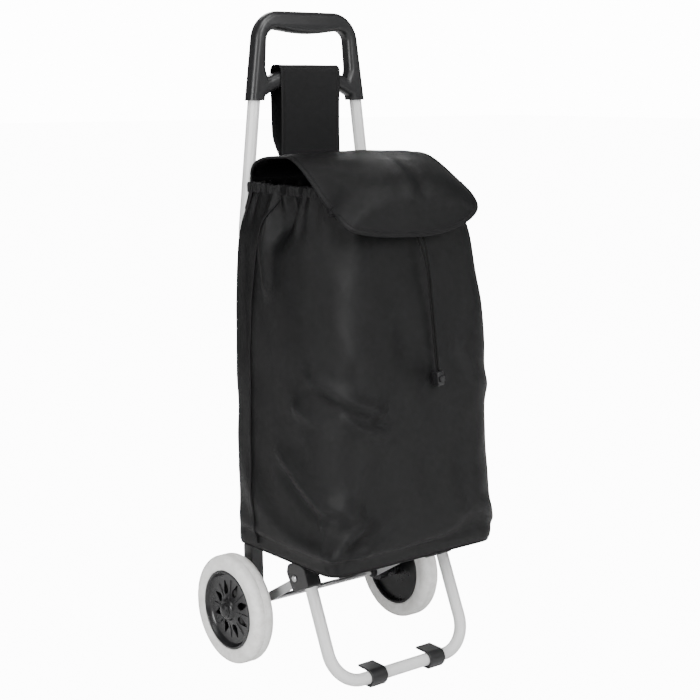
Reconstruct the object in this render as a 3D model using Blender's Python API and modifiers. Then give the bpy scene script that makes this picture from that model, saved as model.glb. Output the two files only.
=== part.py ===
"""Two-wheeled shopping trolley: a tube frame with a handle, a folding front leg,
two wheels on an axle, and a soft bag with a flap, a drawstring and a hanging strap.

Metres, +Z up, the front towards -Y and the width along X. The origin is on the
ground, in the middle of the footprint. Left is -X. A "forward" distance is measured
from the axle towards the front.
"""
import math

import bmesh
import bpy
from mathutils import Matrix, Vector

# ---- driving dimensions ------------------------------------------------------
TOTAL_HEIGHT = 0.934        # ground to the top of the grip
FRAME_WIDTH = 0.227         # centre to centre of the side tubes, at the bottom
WHEEL_RADIUS = 0.080
GAP = 0.0003                # between pieces that rest on each other
FIT = 0.0004                # between a pin or tube and its bore, on the radius

# frame tubes
TUBE_RADIUS = 0.009
TUBE_WALL = 0.0012
FRAME_LEAN = math.radians(1.47)
TUBE_FOOT_FORWARD = -0.012  # tube centre, at the tube's lower end
TUBE_FOOT_RISE = 0.024      # its lower end above the axle
TUBE_BEND_RADIUS = 0.12
CROSS_TUBE_RADIUS = 0.007
UPPER_CROSS_DROP = 0.0283   # upper cross tube under the bend in the side tubes

# handle
HANDLE_HEIGHT = 0.125       # sleeve bottom to the top of the grip
HANDLE_DEPTH = 0.0225
HANDLE_EDGE = 0.0075        # rounding of its long edges
SLEEVE_SPACING = 0.184      # centre to centre, at the sleeve bottoms
SLEEVE_WIDTH = 0.0235
SLEEVE_SPLAY = 0.119        # sideways run of the upper tubes for each metre down
HANDLE_TOP_WIDTH = 0.173    # between the outer sides, carried up to the top of the grip
HANDLE_CORNER = 0.044
GRIP_THICKNESS = 0.033      # in the middle, before its underside is rounded
GRIP_BULGE = 0.009          # how far the grip's underside swells in the middle
GRIP_CURVE = 0.25           # radius of that swelling
HAND_GAP_WIDTH = 0.142
HAND_GAP_CORNER = 0.016
CROSSBAR_CROWN = 0.048      # sleeve bottom to the top of the arched bar, in the middle
CROSSBAR_HEIGHT = 0.022
CROSSBAR_RISE = 0.020       # how far the bar arches up
TUBE_IN_HANDLE = 0.045
SCREW_HEIGHT = 0.020        # handle screws above the sleeve bottoms
SCREW_REACH = 0.008         # of screws and bracket rivets, head to tip
SCREW_RADIUS = 0.0018
SCREW_HEAD_RADIUS = 0.0038
SCREW_HEAD_HEIGHT = 0.0014

# wheels and axle
TYRE_WIDTH = 0.033
TYRE_THICKNESS = 0.0222
HUB_WIDTH = 0.029
HUB_BOSS_IN = 0.018         # boss reach on the inner side of the wheel's middle plane
HUB_BOSS_OUT = 0.0165
HUB_HOLES = 8
WHEEL_STEPS = 32            # flats around the hub and the tyre, so that they sit together
AXLE_RADIUS = 0.004
CAP_HEIGHT = 0.006
CAP_RADIUS = 0.0092
SPACER_LENGTH = 0.014
SPACER_RADIUS = 0.008

# axle brackets
BRACKET_SIZE = 0.022        # square sleeve around the tube
BRACKET_RISE = 0.087        # its top above the axle
BRACKET_FLOOR = 0.004       # closed bottom under the tube
CHEEK_WIDTH = 0.014         # the plate that takes the axle
CHEEK_RADIUS = 0.0135
BRACKET_RIVET_RISE = 0.012  # above the sleeve's middle
BRACKET_EDGE = 0.003

# struts, leg and its blocks
PIVOT_FORWARD = 0.117
PIVOT_RISE = 0.071          # above the axle
STRUT_WIDTH = 0.012
STRUT_THICKNESS = 0.0025
STRUT_BUSH_RADIUS = 0.0070
STRUT_BUSH_LENGTH = 0.008
RIVET_RADIUS = 0.003
RIVET_HEAD_RADIUS = 0.005
RIVET_HEAD_HEIGHT = 0.002
BLOCK_WIDTH = 0.024
BLOCK_WALL = 0.0025         # plastic in front of the tube
BLOCK_DROP = 0.018          # pivot to the block's lower face, along the leg
TUBE_IN_BLOCK = 0.022
LEG_LEAN = math.radians(24.1)
LEG_TUBE_RADIUS = 0.009
LEG_OFFSET = 0.0166         # pivot to the leg tube's centre, square to the leg
LEG_CORNER_RADIUS = 0.047
CLIP_LENGTH = 0.027
CLIP_WALL = 0.0037
CLIP_SPACING = 0.108
CLIP_TAB = 0.022

# support under the bag
WIRE_RADIUS = 0.003
WIRE_FORWARD = 0.165
WIRE_WIDTH = 0.190
WIRE_CORNER = 0.020

# bag
BAG_OVERHANG = 0.0365       # bag side beyond the side tube's centre
BAG_FRONT = 0.225
BAG_OVER_WHEEL = 0.018      # bag's bottom above the top of the tyres
BAG_WALL = 0.002
BAG_CORNER = 0.022
BAG_CORNER_STEPS = 4
BAG_BOTTOM_EDGE = 0.006
SHOULDER_HEIGHT = 0.095     # the part below the rim where the bag draws in
RIM_BAND = 0.022            # straight band under the rim
RIM_INSET = 0.010           # drawn in at each side
RIM_FRONT_INSET = 0.020
BOARD_THICKNESS = 0.004
STRAP_DROP = 0.162          # top of the arched bar to the bag's rim
STRAP_WIDTH = 0.105
STRAP_PLY = 0.0016
STRAP_SLACK = 0.0008        # between the strap and the bar
STRAP_TAIL = 0.012          # sewn length below the hem's top
LOOP_HEIGHT = 0.030
LOOP_RISE = 0.142           # middle of the loops above the bag's bottom
LOOP_PLY = 0.0015

# hem, drawstring and cord lock
CORD_RADIUS = 0.00125
HEM_WALL = 0.0012
HEM_DEPTH = 0.016
HEM_SLACK = 0.0006          # between the hem and the bag wall, each side
EYELET_SPACING = 0.024
EYELET_RADIUS = 0.0045
EYELET_THICKNESS = 0.0012
STRAND_SPACING = 0.0034
LOCK_DROP = 0.260           # rim to the middle of the cord lock
LOCK_X = 0.027
CORD_SLANT = math.radians(7.54)
CORD_STRAIGHT = 0.152       # straight stretch above the cords' lower ends
LOCK_WIDTH = 0.0122
LOCK_HEIGHT = 0.0200
LOCK_BACK = 0.0074          # cord centre to the back of the lock
LOCK_FRONT = 0.0062
LOCK_TO_BAG = 0.0008
BUTTON_TRAVEL = 0.0025
BUTTON_REACH = 0.0032       # how far the button stands out of the lock
BUTTON_HEIGHT = 0.0072
BUTTON_BAR = 0.0015

# flap
FLAP_THICKNESS = 0.0016
FLAP_REAR_WIDTH = 0.190
FLAP_FRONT_WIDTH = 0.260
FLAP_CROWN = 0.038          # top of the flap above the rim
FLAP_SIDE_DROOP = 0.012
FLAP_HANG = 0.063           # front edge below the rim
FLAP_CLEAR = 0.0095         # flap's outer face in front of the bag

# ---- derived sizes -----------------------------------------------------------
AXLE_Z = WHEEL_RADIUS
TUBE_FOOT_Z = AXLE_Z + TUBE_FOOT_RISE
BRACKET_TOP_Z = AXLE_Z + BRACKET_RISE
PIVOT_Z = AXLE_Z + PIVOT_RISE
BAG_BOTTOM_Z = 2 * WHEEL_RADIUS + BAG_OVER_WHEEL
LOOP_Z = BAG_BOTTOM_Z + LOOP_RISE
AXLE_Y = (BAG_FRONT + FLAP_CLEAR - WHEEL_RADIUS) / 2
TUBE_X = FRAME_WIDTH / 2
HANDLE_BASE_Z = TOTAL_HEIGHT - HANDLE_HEIGHT
TUBE_BEND_Z = HANDLE_BASE_Z - (TUBE_X - SLEEVE_SPACING / 2) / SLEEVE_SPLAY
UPPER_CROSS_Z = TUBE_BEND_Z - UPPER_CROSS_DROP
TUBE_TOP_Z = HANDLE_BASE_Z + TUBE_IN_HANDLE
CHEEK_INNER_X = TUBE_X - 0.003
CHEEK_OUTER_X = CHEEK_INNER_X + CHEEK_WIDTH
STRUT_OUTER_X = CHEEK_INNER_X - GAP
STRUT_INNER_X = STRUT_OUTER_X - STRUT_THICKNESS
BLOCK_INNER_X = STRUT_OUTER_X + FIT
BLOCK_OUTER_X = BLOCK_INNER_X + BLOCK_WIDTH
LEG_X = BLOCK_INNER_X + BLOCK_WIDTH / 2
WHEEL_X = CHEEK_OUTER_X + GAP + SPACER_LENGTH + GAP + HUB_BOSS_IN
HUB_RADIUS = WHEEL_RADIUS - TYRE_THICKNESS
BAR_Z = LEG_TUBE_RADIUS + GAP + CLIP_WALL
WIRE_Z = BAG_BOTTOM_Z - GAP - WIRE_RADIUS
BAG_HALF_WIDTH = TUBE_X + BAG_OVERHANG
CROSSBAR_TOP_Z = HANDLE_BASE_Z + CROSSBAR_CROWN
RIM_Z = CROSSBAR_TOP_Z - STRAP_DROP
RIM_FRONT = BAG_FRONT - RIM_FRONT_INSET
BAND_Z = RIM_Z - RIM_BAND
HEM_CAVITY = 2 * HEM_SLACK + BAG_WALL
HEM_CORD_Z = RIM_Z + GAP + CORD_RADIUS
HEM_TOP_Z = HEM_CORD_Z + CORD_RADIUS + GAP + HEM_WALL
HEM_OUT = HEM_CAVITY / 2 + HEM_WALL
BAG_TO_TUBE = HEM_OUT - BAG_WALL / 2 + GAP
LOCK_Z = RIM_Z - LOCK_DROP
CORD_FORWARD = BAG_FRONT + LOCK_TO_BAG + LOCK_BACK

# ---- collections and materials -------------------------------------------------
for old in list(bpy.data.objects):
    bpy.data.objects.remove(old, do_unlink=True)

parts = bpy.data.collections.new("shopping_trolley")
cutters = bpy.data.collections.new("cutters")
bpy.context.scene.collection.children.link(parts)
bpy.context.scene.collection.children.link(cutters)


def material(name, colour, roughness, metallic=0.0):
    """A plain surface of one colour."""
    made = bpy.data.materials.new(name)
    made.use_nodes = True
    surface = made.node_tree.nodes["Principled BSDF"]
    surface.inputs["Base Color"].default_value = (*colour, 1.0)
    surface.inputs["Roughness"].default_value = roughness
    surface.inputs["Metallic"].default_value = metallic
    return made


PAINT = material("light_grey_paint", (0.62, 0.62, 0.61), 0.35)
PLASTIC = material("black_plastic", (0.012, 0.012, 0.013), 0.42)
FOAM = material("off_white_foam", (0.74, 0.73, 0.70), 0.75)
CHROME = material("chrome", (0.75, 0.75, 0.76), 0.12, 1.0)
STEEL = material("zinc_steel", (0.45, 0.45, 0.46), 0.38, 1.0)
NYLON = material("black_nylon", (0.015, 0.015, 0.017), 0.60)
WEBBING = material("black_webbing", (0.010, 0.010, 0.011), 0.80)
CORD = material("black_cord", (0.008, 0.008, 0.008), 0.85)
BOARD = material("grey_board", (0.16, 0.16, 0.15), 0.90)


# ---- helpers -------------------------------------------------------------------
def at(x, forward, z):
    """A point from its sideways place, its distance in front of the axle and its height."""
    return Vector((x, AXLE_Y - forward, z))


def tube_forward(z):
    """Forward place of the side tubes' centre at a height: the frame leans back."""
    return TUBE_FOOT_FORWARD - (z - TUBE_FOOT_Z) * math.tan(FRAME_LEAN)


def add(name, data, surface=None, group=parts):
    """A new object in a collection, with its material."""
    made = bpy.data.objects.new(name, data)
    group.objects.link(made)
    if surface:
        data.materials.clear()
        data.materials.append(surface)
    if group is cutters:
        made.hide_render = True
        made.display_type = "WIRE"
    return made


def as_mesh(made, weld=1e-6):
    """Turn a curve object into a welded mesh object of the same name and place."""
    bpy.context.view_layer.update()
    depsgraph = bpy.context.evaluated_depsgraph_get()
    mesh = bpy.data.meshes.new_from_object(made.evaluated_get(depsgraph))
    name = made.name
    group = made.users_collection[0]
    matrix = made.matrix_world.copy()
    bpy.data.objects.remove(made, do_unlink=True)
    shape = bmesh.new()
    shape.from_mesh(mesh)
    bmesh.ops.remove_doubles(shape, verts=shape.verts, dist=weld)
    bmesh.ops.recalc_face_normals(shape, faces=shape.faces)
    shape.to_mesh(mesh)
    shape.free()
    solid = add(name, mesh, group=group)
    solid.matrix_world = matrix
    return solid


def smooth(made, angle=32):
    """Shade a round piece smooth, with its real edges kept sharp."""
    made.data.shade_smooth()
    made.data.set_sharp_from_angle(angle=math.radians(angle))
    return made


def arc(centre, radius, start, end, steps):
    """Points on an arc, angles in degrees, both ends included."""
    angles = [math.radians(start + (end - start) * i / steps) for i in range(steps + 1)]
    return [(centre[0] + radius * math.cos(a), centre[1] + radius * math.sin(a)) for a in angles]


def bow(start, rise, end, steps):
    """Points from start to end, both on one level, on a shallow arc that rises between them."""
    half = (end[0] - start[0]) / 2
    radius = (half * half + rise * rise) / (2 * abs(rise))
    middle = (start[0] + end[0]) / 2
    side = math.copysign(1, rise)
    points = []
    for i in range(steps + 1):
        x = start[0] + 2 * half * i / steps
        height = math.sqrt(radius * radius - (x - middle) ** 2) - (radius - abs(rise))
        points.append((x, start[1] + side * height))
    return points


def round_corners(corners, radii, steps=5, closed=True):
    """A path through corners, each replaced by an arc of its own radius (0 keeps it)."""
    points = []
    count = len(corners)
    for i, corner in enumerate(corners):
        here = Vector(corner)
        radius = radii[i] if isinstance(radii, (list, tuple)) else radii
        if radius == 0 or (not closed and i in (0, count - 1)):
            points.append(here)
            continue
        back = (Vector(corners[i - 1]) - here).normalized()
        ahead = (Vector(corners[(i + 1) % count]) - here).normalized()
        half = back.angle(ahead) / 2
        centre = here + (back + ahead).normalized() * (radius / math.sin(half))
        first = here + back * (radius / math.tan(half)) - centre
        last = here + ahead * (radius / math.tan(half)) - centre
        sweep = first.angle(last)
        for k in range(steps + 1):
            t = k / steps
            direction = first * math.sin((1 - t) * sweep) + last * math.sin(t * sweep)
            points.append(centre + direction / math.sin(sweep))
    return points


def smooth_route(points, spacing):
    """Points at about one spacing along a smooth curve through a route's own points."""
    route = [Vector(p) for p in points]
    padded = [2 * route[0] - route[1]] + route + [2 * route[-1] - route[-2]]
    found = [route[0]]
    for a, b, c, d in zip(padded, padded[1:], padded[2:], padded[3:]):
        steps = max(1, round((c - b).length / spacing))
        for k in range(1, steps + 1):
            t = k / steps
            linear = (c - a) * t
            square = (2 * a - 5 * b + 4 * c - d) * t * t
            cube = (3 * b - a - 3 * c + d) * t ** 3
            found.append(b + (linear + square + cube) / 2)
    return found


def spline(curve, points, cyclic):
    """Add a straight-segment spline to a curve."""
    made = curve.splines.new("POLY")
    made.points.add(len(points) - 1)
    for slot, point in zip(made.points, points):
        slot.co = (*point, *([0.0] * (3 - len(point))), 1.0)
    made.use_cyclic_u = cyclic
    return made


def rod(name, points, radius, surface, sides=3, cyclic=False, group=parts):
    """A solid round rod, wire or cord along a path."""
    curve = bpy.data.curves.new(name, "CURVE")
    curve.dimensions = "3D"
    curve.bevel_depth = radius
    curve.bevel_resolution = sides
    curve.use_fill_caps = not cyclic
    spline(curve, points, cyclic)
    return add(name, curve, surface, group)


def hollow_tube(name, points, radius, wall, surface):
    """A round tube along a path, open at both ends."""
    made = rod(name, points, radius, surface, sides=4)
    made.data.use_fill_caps = False
    made = as_mesh(made)
    shell = made.modifiers.new("wall", "SOLIDIFY")
    shell.thickness = wall
    shell.offset = -1
    shell.use_even_offset = True
    return smooth(made)


def plate(name, outlines, thickness, matrix, surface=None, edge=0.0, group=parts):
    """A flat outline, with holes where further outlines lie inside it, given a thickness."""
    curve = bpy.data.curves.new(name, "CURVE")
    curve.dimensions = "2D"
    curve.fill_mode = "BOTH"
    curve.extrude = thickness / 2 - edge
    curve.bevel_depth = edge
    curve.bevel_resolution = 1
    curve.offset = -edge
    for outline in outlines:
        spline(curve, outline, True)
    made = add(name, curve, surface, group)
    made.matrix_world = matrix
    return as_mesh(made)


def side_view(x, forward=0.0, z=0.0, lean=0.0):
    """Outline axes for a plate seen from the side: forward, then up; lean tips its foot forward."""
    ahead = Vector((0, -math.cos(lean), math.sin(lean)))
    up = Vector((0, math.sin(lean), math.cos(lean)))
    return axes(ahead, up, at(x, forward, z))


def axes(first, second, origin):
    """A placement from two square directions and an origin."""
    turn = Matrix((first, second, first.cross(second))).transposed()
    return Matrix.Translation(origin) @ turn.to_4x4()


def turned(name, profile, matrix, surface, steps=32, group=parts):
    """A turned shape: (radius, height) points around the placement's own Z axis."""
    mesh = bpy.data.meshes.new(name)
    shape = bmesh.new()
    verts = [shape.verts.new((r, 0, h)) for r, h in profile]
    touches_axis = profile[0][0] == 0 and profile[-1][0] == 0
    pairs = zip(verts, verts[1:] + ([] if touches_axis else verts[:1]))
    for a, b in pairs:
        shape.edges.new((a, b))
    shape.to_mesh(mesh)
    shape.free()
    made = add(name, mesh, surface, group)
    made.matrix_world = matrix
    screw = made.modifiers.new("turn", "SCREW")
    screw.steps = steps
    screw.render_steps = steps
    screw.use_merge_vertices = True
    screw.merge_threshold = 0.00001
    screw.use_smooth_shade = False
    return made


def pin(name, matrix, radius, start, end, steps=16):
    """A round cutter along the placement's Z axis."""
    mesh = bpy.data.meshes.new(name)
    shape = bmesh.new()
    bmesh.ops.create_cone(shape, cap_ends=True, segments=steps, radius1=radius, radius2=radius,
                          depth=end - start,
                          matrix=Matrix.Translation((0, 0, (start + end) / 2)))
    shape.to_mesh(mesh)
    shape.free()
    made = add(name, mesh, group=cutters)
    made.matrix_world = matrix
    return made


def block(name, size, matrix, surface=None, edge=0.0, group=parts):
    """A box centred on its placement, with rounded edges."""
    mesh = bpy.data.meshes.new(name)
    shape = bmesh.new()
    bmesh.ops.create_cube(shape, size=1.0)
    bmesh.ops.scale(shape, vec=size, verts=shape.verts)
    if edge:
        bmesh.ops.bevel(shape, geom=shape.edges[:], offset=edge, segments=2, profile=0.5,
                        affect="EDGES")
    shape.to_mesh(mesh)
    shape.free()
    made = add(name, mesh, surface, group)
    made.matrix_world = matrix
    return made


def cut(made, cutter, operation="DIFFERENCE"):
    """Cut a piece with a cutter, or join a hidden piece to it."""
    modifier = made.modifiers.new(cutter.name, "BOOLEAN")
    modifier.operation = operation
    modifier.object = cutter
    modifier.solver = "EXACT"
    return made


def along(direction, origin):
    """A placement whose Z axis runs along a direction."""
    turn = Vector((0, 0, 1)).rotation_difference(direction).to_matrix().to_4x4()
    return Matrix.Translation(origin) @ turn


def sides():
    """Name and sign of the left and the right side."""
    return (("left", -1), ("right", 1))


# ---- frame -----------------------------------------------------------------------
def side_tube_path(sign):
    """Centre line of a side tube: straight, one bend, then splayed in to the handle."""
    top_x = SLEEVE_SPACING / 2 - TUBE_IN_HANDLE * SLEEVE_SPLAY
    corners = [at(sign * TUBE_X, tube_forward(TUBE_FOOT_Z), TUBE_FOOT_Z),
               at(sign * TUBE_X, tube_forward(TUBE_BEND_Z), TUBE_BEND_Z),
               at(sign * top_x, tube_forward(TUBE_TOP_Z), TUBE_TOP_Z)]
    return round_corners(corners, TUBE_BEND_RADIUS, steps=3, closed=False)


def rivet(name, origin, direction, surface, steps=12):
    """A headed pin that points along a direction, and the cutter for its hole."""
    reach, height = SCREW_REACH, SCREW_HEAD_HEIGHT
    radius, head = SCREW_RADIUS, SCREW_HEAD_RADIUS
    profile = [(0, 0), (radius, 0), (radius, reach), (head, reach + GAP),
               (head, reach + GAP + height * 0.5), (head * 0.6, reach + GAP + height),
               (0, reach + GAP + height)]
    profile.reverse()
    placement = along(-direction, origin + direction * reach)
    made = smooth(turned(name, profile, placement, surface, steps=steps))
    hole = pin(name + "_hole", placement, radius + FIT, -0.001, reach + 0.002, steps=steps)
    return made, hole


def build_frame():
    """Side tubes, cross tubes and the wire that carries the bag's base."""
    tubes = {}
    for side, sign in sides():
        tubes[side] = hollow_tube("side_tube_" + side, side_tube_path(sign), TUBE_RADIUS,
                                  TUBE_WALL, PAINT)
    reach = TUBE_X - TUBE_RADIUS - GAP
    for name, z in (("cross_tube_lower", WIRE_Z), ("cross_tube_upper", UPPER_CROSS_Z)):
        ends = [at(-reach, tube_forward(z), z), at(reach, tube_forward(z), z)]
        hollow_tube(name, ends, CROSS_TUBE_RADIUS, TUBE_WALL, PAINT)
    rear = tube_forward(WIRE_Z) + CROSS_TUBE_RADIUS + GAP
    half = WIRE_WIDTH / 2
    corners = [at(-half, rear, WIRE_Z), at(-half, WIRE_FORWARD, WIRE_Z),
               at(half, WIRE_FORWARD, WIRE_Z), at(half, rear, WIRE_Z)]
    path = round_corners(corners, WIRE_CORNER, steps=5, closed=False)
    smooth(as_mesh(rod("base_wire", path, WIRE_RADIUS, CHROME, sides=2)))
    return tubes


def build_handle(tubes):
    """One moulding: two sleeves, the side arms, the grip and the arched lower bar."""
    base = at(0, tube_forward(HANDLE_BASE_Z), HANDLE_BASE_Z)
    up = Vector((0, math.sin(FRAME_LEAN), math.cos(FRAME_LEAN)))
    placement = axes(Vector((1, 0, 0)), up, base)
    half_sleeve = SLEEVE_WIDTH / 2
    foot = SLEEVE_SPACING / 2
    over = 2 * HANDLE_EDGE
    crown = CROSSBAR_CROWN
    under = crown - CROSSBAR_HEIGHT
    inner = foot - half_sleeve
    tuck = HANDLE_EDGE / 2
    arch = bow((inner - tuck, under - CROSSBAR_RISE), CROSSBAR_RISE,
               (-inner + tuck, under - CROSSBAR_RISE), 12)
    right = round_corners([(inner, -over), (foot + half_sleeve, -over), (foot + half_sleeve, 0.0),
                           (HANDLE_TOP_WIDTH / 2, HANDLE_HEIGHT), (0, HANDLE_HEIGHT)],
                          [0, 0, 0, HANDLE_CORNER, 0], steps=7, closed=False)
    outer = [tuple(p) for p in right]
    outer += [(-x, y) for x, y in reversed(outer[:-1])]
    outer += [(x, y) for x, y in reversed(arch)]
    gap_half = HAND_GAP_WIDTH / 2
    gap_top = HANDLE_HEIGHT - GRIP_THICKNESS + GRIP_BULGE
    lower_rise = CROSSBAR_RISE * 0.8
    lower = bow((-gap_half, crown - lower_rise), lower_rise, (gap_half, crown - lower_rise), 12)
    upper = round_corners([lower[-1], (gap_half + tuck, crown - tuck), (gap_half, gap_top),
                           (0, gap_top - GRIP_BULGE), (-gap_half, gap_top),
                           (-gap_half - tuck, crown - tuck), lower[0]],
                          [0, tuck, HAND_GAP_CORNER, GRIP_CURVE, HAND_GAP_CORNER, tuck, 0],
                          closed=False)
    opening = lower[1:-1] + [tuple(p) for p in upper]
    opening.reverse()
    handle = plate("handle", [outer, opening], HANDLE_DEPTH, placement, PLASTIC, edge=HANDLE_EDGE)
    trim = block("handle_trim", (HANDLE_HEIGHT * 2, over * 2, HANDLE_HEIGHT),
                 placement @ Matrix.Translation((0, -over, 0)), group=cutters)
    cut(handle, trim)
    for side, sign in sides():
        axis = Vector((-sign * SLEEVE_SPLAY * math.cos(FRAME_LEAN), up.y, up.z)).normalized()
        start = base + Vector((sign * foot, 0, 0))
        bore = pin("handle_bore_" + side, along(axis, start), TUBE_RADIUS + FIT, -0.02,
                   TUBE_IN_HANDLE + 0.003, steps=24)
        cut(handle, bore)
        middle = start + axis * SCREW_HEIGHT
        back = Vector((0, up.z, -up.y))
        surface_point = middle + back * (HANDLE_DEPTH / 2 - SCREW_REACH)
        _, hole = rivet("handle_screw_" + side, surface_point, back, STEEL)
        cut(handle, hole)
        cut(tubes[side], hole)
    smooth(handle, 40)


# ---- wheels, axle and brackets ------------------------------------------------------
def wheel_axes(sign):
    """Placement on a wheel's middle plane, its Z axis pointing outwards."""
    return axes(Vector((0, 0, -1)), Vector((0, sign, 0)), at(sign * WHEEL_X, 0, AXLE_Z))


def teardrop(inner, outer, round_radius, tip_radius):
    """Outline of a hub hole: wide near the boss and pointed towards the rim."""
    wide = inner + round_radius
    far = outer - tip_radius
    spread = math.degrees(math.acos((round_radius - tip_radius) / (far - wide)))
    return (arc((wide, 0), round_radius, spread, 360 - spread, 7)
            + arc((far, 0), tip_radius, -spread, spread, 2))


def build_wheel(side, sign):
    """A dished plastic hub with teardrop holes, and a foam tyre on it."""
    rim = HUB_RADIUS
    half = HUB_WIDTH / 2
    bore = AXLE_RADIUS + FIT
    profile = [(rim, half), (rim, -half), (rim - 0.003, -half), (rim - 0.003, half - 0.005),
               (rim - 0.010, 0.003), (0.018, 0.007), (0.0125, 0.007), (0.0125, -HUB_BOSS_IN),
               (bore, -HUB_BOSS_IN), (bore, HUB_BOSS_OUT), (0.0105, HUB_BOSS_OUT),
               (0.0135, HUB_BOSS_OUT - 0.002), (0.0145, 0.0095), (0.018, 0.010),
               (rim - 0.0105, 0.006), (rim - 0.003, half - 0.001), (rim - 0.0015, half)]
    hub = turned("hub_" + side, profile, wheel_axes(sign), PLASTIC, steps=WHEEL_STEPS)
    for i in range(HUB_HOLES):
        turn = Matrix.Rotation(2 * math.pi * (i + 0.5) / HUB_HOLES, 4, "Z")
        hole = plate("hub_hole_%s_%d" % (side, i), [teardrop(0.0205, rim - 0.0135, 0.0065, 0.0016)],
                     0.060, wheel_axes(sign) @ turn, group=cutters)
        cut(hub, hole)
    smooth(hub, 30)
    inside = HUB_RADIUS + GAP
    wide = TYRE_WIDTH / 2
    shoulder = 0.0085
    crown = arc((WHEEL_RADIUS - shoulder, wide - shoulder), shoulder, 0, 90, 3)
    upper = [(r, h) for r, h in reversed(crown)]
    lower = [(r, -h) for r, h in crown]
    profile = upper + lower + [(inside + 0.0015, -wide), (inside, -wide + 0.0015),
                               (inside, wide - 0.0015), (inside + 0.0015, wide)]
    smooth(turned("tyre_" + side, profile, wheel_axes(sign), FOAM, steps=WHEEL_STEPS), 35)


def build_axle():
    """The chrome axle with its end caps, and the spacers between brackets and wheels."""
    end = WHEEL_X + HUB_BOSS_OUT + CAP_HEIGHT - 0.002
    ends = [at(-end, 0, AXLE_Z), at(end, 0, AXLE_Z)]
    smooth(as_mesh(rod("axle", ends, AXLE_RADIUS, CHROME, sides=4)))
    bore = AXLE_RADIUS + FIT
    for side, sign in sides():
        foot = HUB_BOSS_OUT + FIT
        top = foot + CAP_HEIGHT
        profile = [(0, top), (CAP_RADIUS * 0.49, top - 0.0006), (CAP_RADIUS * 0.85, top - 0.0022),
                   (CAP_RADIUS, foot + 0.0012), (CAP_RADIUS, foot), (bore, foot),
                   (bore, top - 0.0015), (0, top - 0.0015)]
        smooth(turned("axle_cap_" + side, profile, wheel_axes(sign), PLASTIC, steps=18), 50)
        near = -HUB_BOSS_IN - GAP
        profile = [(SPACER_RADIUS, near), (SPACER_RADIUS, near - SPACER_LENGTH),
                   (bore, near - SPACER_LENGTH), (bore, near)]
        smooth(turned("wheel_spacer_" + side, profile, wheel_axes(sign), PLASTIC, steps=18))


def build_bracket(side, sign, tube):
    """Plastic bracket: a square sleeve on the tube's end and a cheek that takes the axle."""
    low = TUBE_FOOT_Z - BRACKET_FLOOR
    height = BRACKET_TOP_Z - low
    middle_z = (low + BRACKET_TOP_Z) / 2
    up = Vector((0, math.sin(FRAME_LEAN), math.cos(FRAME_LEAN)))
    placement = axes(Vector((1, 0, 0)), Vector((0, up.z, -up.y)),
                     at(sign * TUBE_X, tube_forward(middle_z), middle_z))
    bracket = block("axle_bracket_" + side, (BRACKET_SIZE, BRACKET_SIZE, height), placement, PLASTIC,
                    edge=BRACKET_EDGE)
    cheek_x = sign * (CHEEK_INNER_X + CHEEK_OUTER_X) / 2
    back = TUBE_FOOT_FORWARD - BRACKET_SIZE / 2 + BRACKET_EDGE
    front = TUBE_FOOT_FORWARD + BRACKET_SIZE / 2 - 0.001
    outline = arc((0, AXLE_Z), CHEEK_RADIUS, -160, 20, 10)
    outline += [(front, low + 0.012), (back, low + 0.012), (back, AXLE_Z + 0.004)]
    cheek = plate("cheek_" + side, [outline], CHEEK_WIDTH, side_view(cheek_x), group=cutters)
    cut(bracket, cheek, "UNION")
    sleeve = along(up, at(sign * TUBE_X, tube_forward(TUBE_FOOT_Z), TUBE_FOOT_Z))
    cut(bracket, pin("bracket_bore_" + side, sleeve, TUBE_RADIUS + FIT, -GAP, 0.2, steps=24))
    axle_bore = along(Vector((1, 0, 0)), at(0, 0, AXLE_Z))
    cut(bracket, pin("axle_bore_" + side, axle_bore, AXLE_RADIUS + FIT, -0.3, 0.3, steps=20))
    rear = Vector((0, up.z, -up.y))
    rivet_z = middle_z + BRACKET_RIVET_RISE
    origin = at(sign * TUBE_X, tube_forward(rivet_z), rivet_z)
    _, hole = rivet("bracket_rivet_" + side, origin + rear * (BRACKET_SIZE / 2 - SCREW_REACH), rear,
                    STEEL)
    cut(bracket, hole)
    cut(tube, hole)
    smooth(bracket, 35)


# ---- struts, leg and feet ---------------------------------------------------------------
def build_strut(side, sign):
    """A flat bar from the axle up to the leg's pivot, with a bush beside it on the axle."""
    run = math.hypot(PIVOT_FORWARD, PIVOT_Z - AXLE_Z)
    rise = math.atan2(PIVOT_Z - AXLE_Z, PIVOT_FORWARD)
    half = STRUT_WIDTH / 2
    outline = arc((run, 0), half, -90, 90, 8) + arc((0, 0), half + 0.001, 90, 270, 8)
    holes = [arc((0, 0), AXLE_RADIUS + FIT, 360, 22.5, 15),
             arc((run, 0), RIVET_RADIUS + FIT, 360, 22.5, 15)]
    middle = sign * (STRUT_INNER_X + STRUT_OUTER_X) / 2
    ahead = Vector((0, -math.cos(rise), math.sin(rise)))
    upward = Vector((0, math.sin(rise), math.cos(rise)))
    plate("strut_" + side, [outline] + holes, STRUT_THICKNESS,
          axes(ahead, upward, at(middle, 0, AXLE_Z)), STEEL)
    bore = AXLE_RADIUS + FIT
    near = -GAP
    profile = [(STRUT_BUSH_RADIUS, near), (STRUT_BUSH_RADIUS, near - STRUT_BUSH_LENGTH),
               (bore, near - STRUT_BUSH_LENGTH), (bore, near)]
    outward = along(Vector((sign, 0, 0)), at(sign * STRUT_INNER_X, 0, AXLE_Z))
    smooth(turned("strut_bush_" + side, profile, outward, PLASTIC, steps=18))


def leg_axes(x):
    """Side view placement at the leg's pivot, its second axis running up along the leg."""
    return side_view(x, PIVOT_FORWARD, PIVOT_Z, lean=LEG_LEAN)


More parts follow.
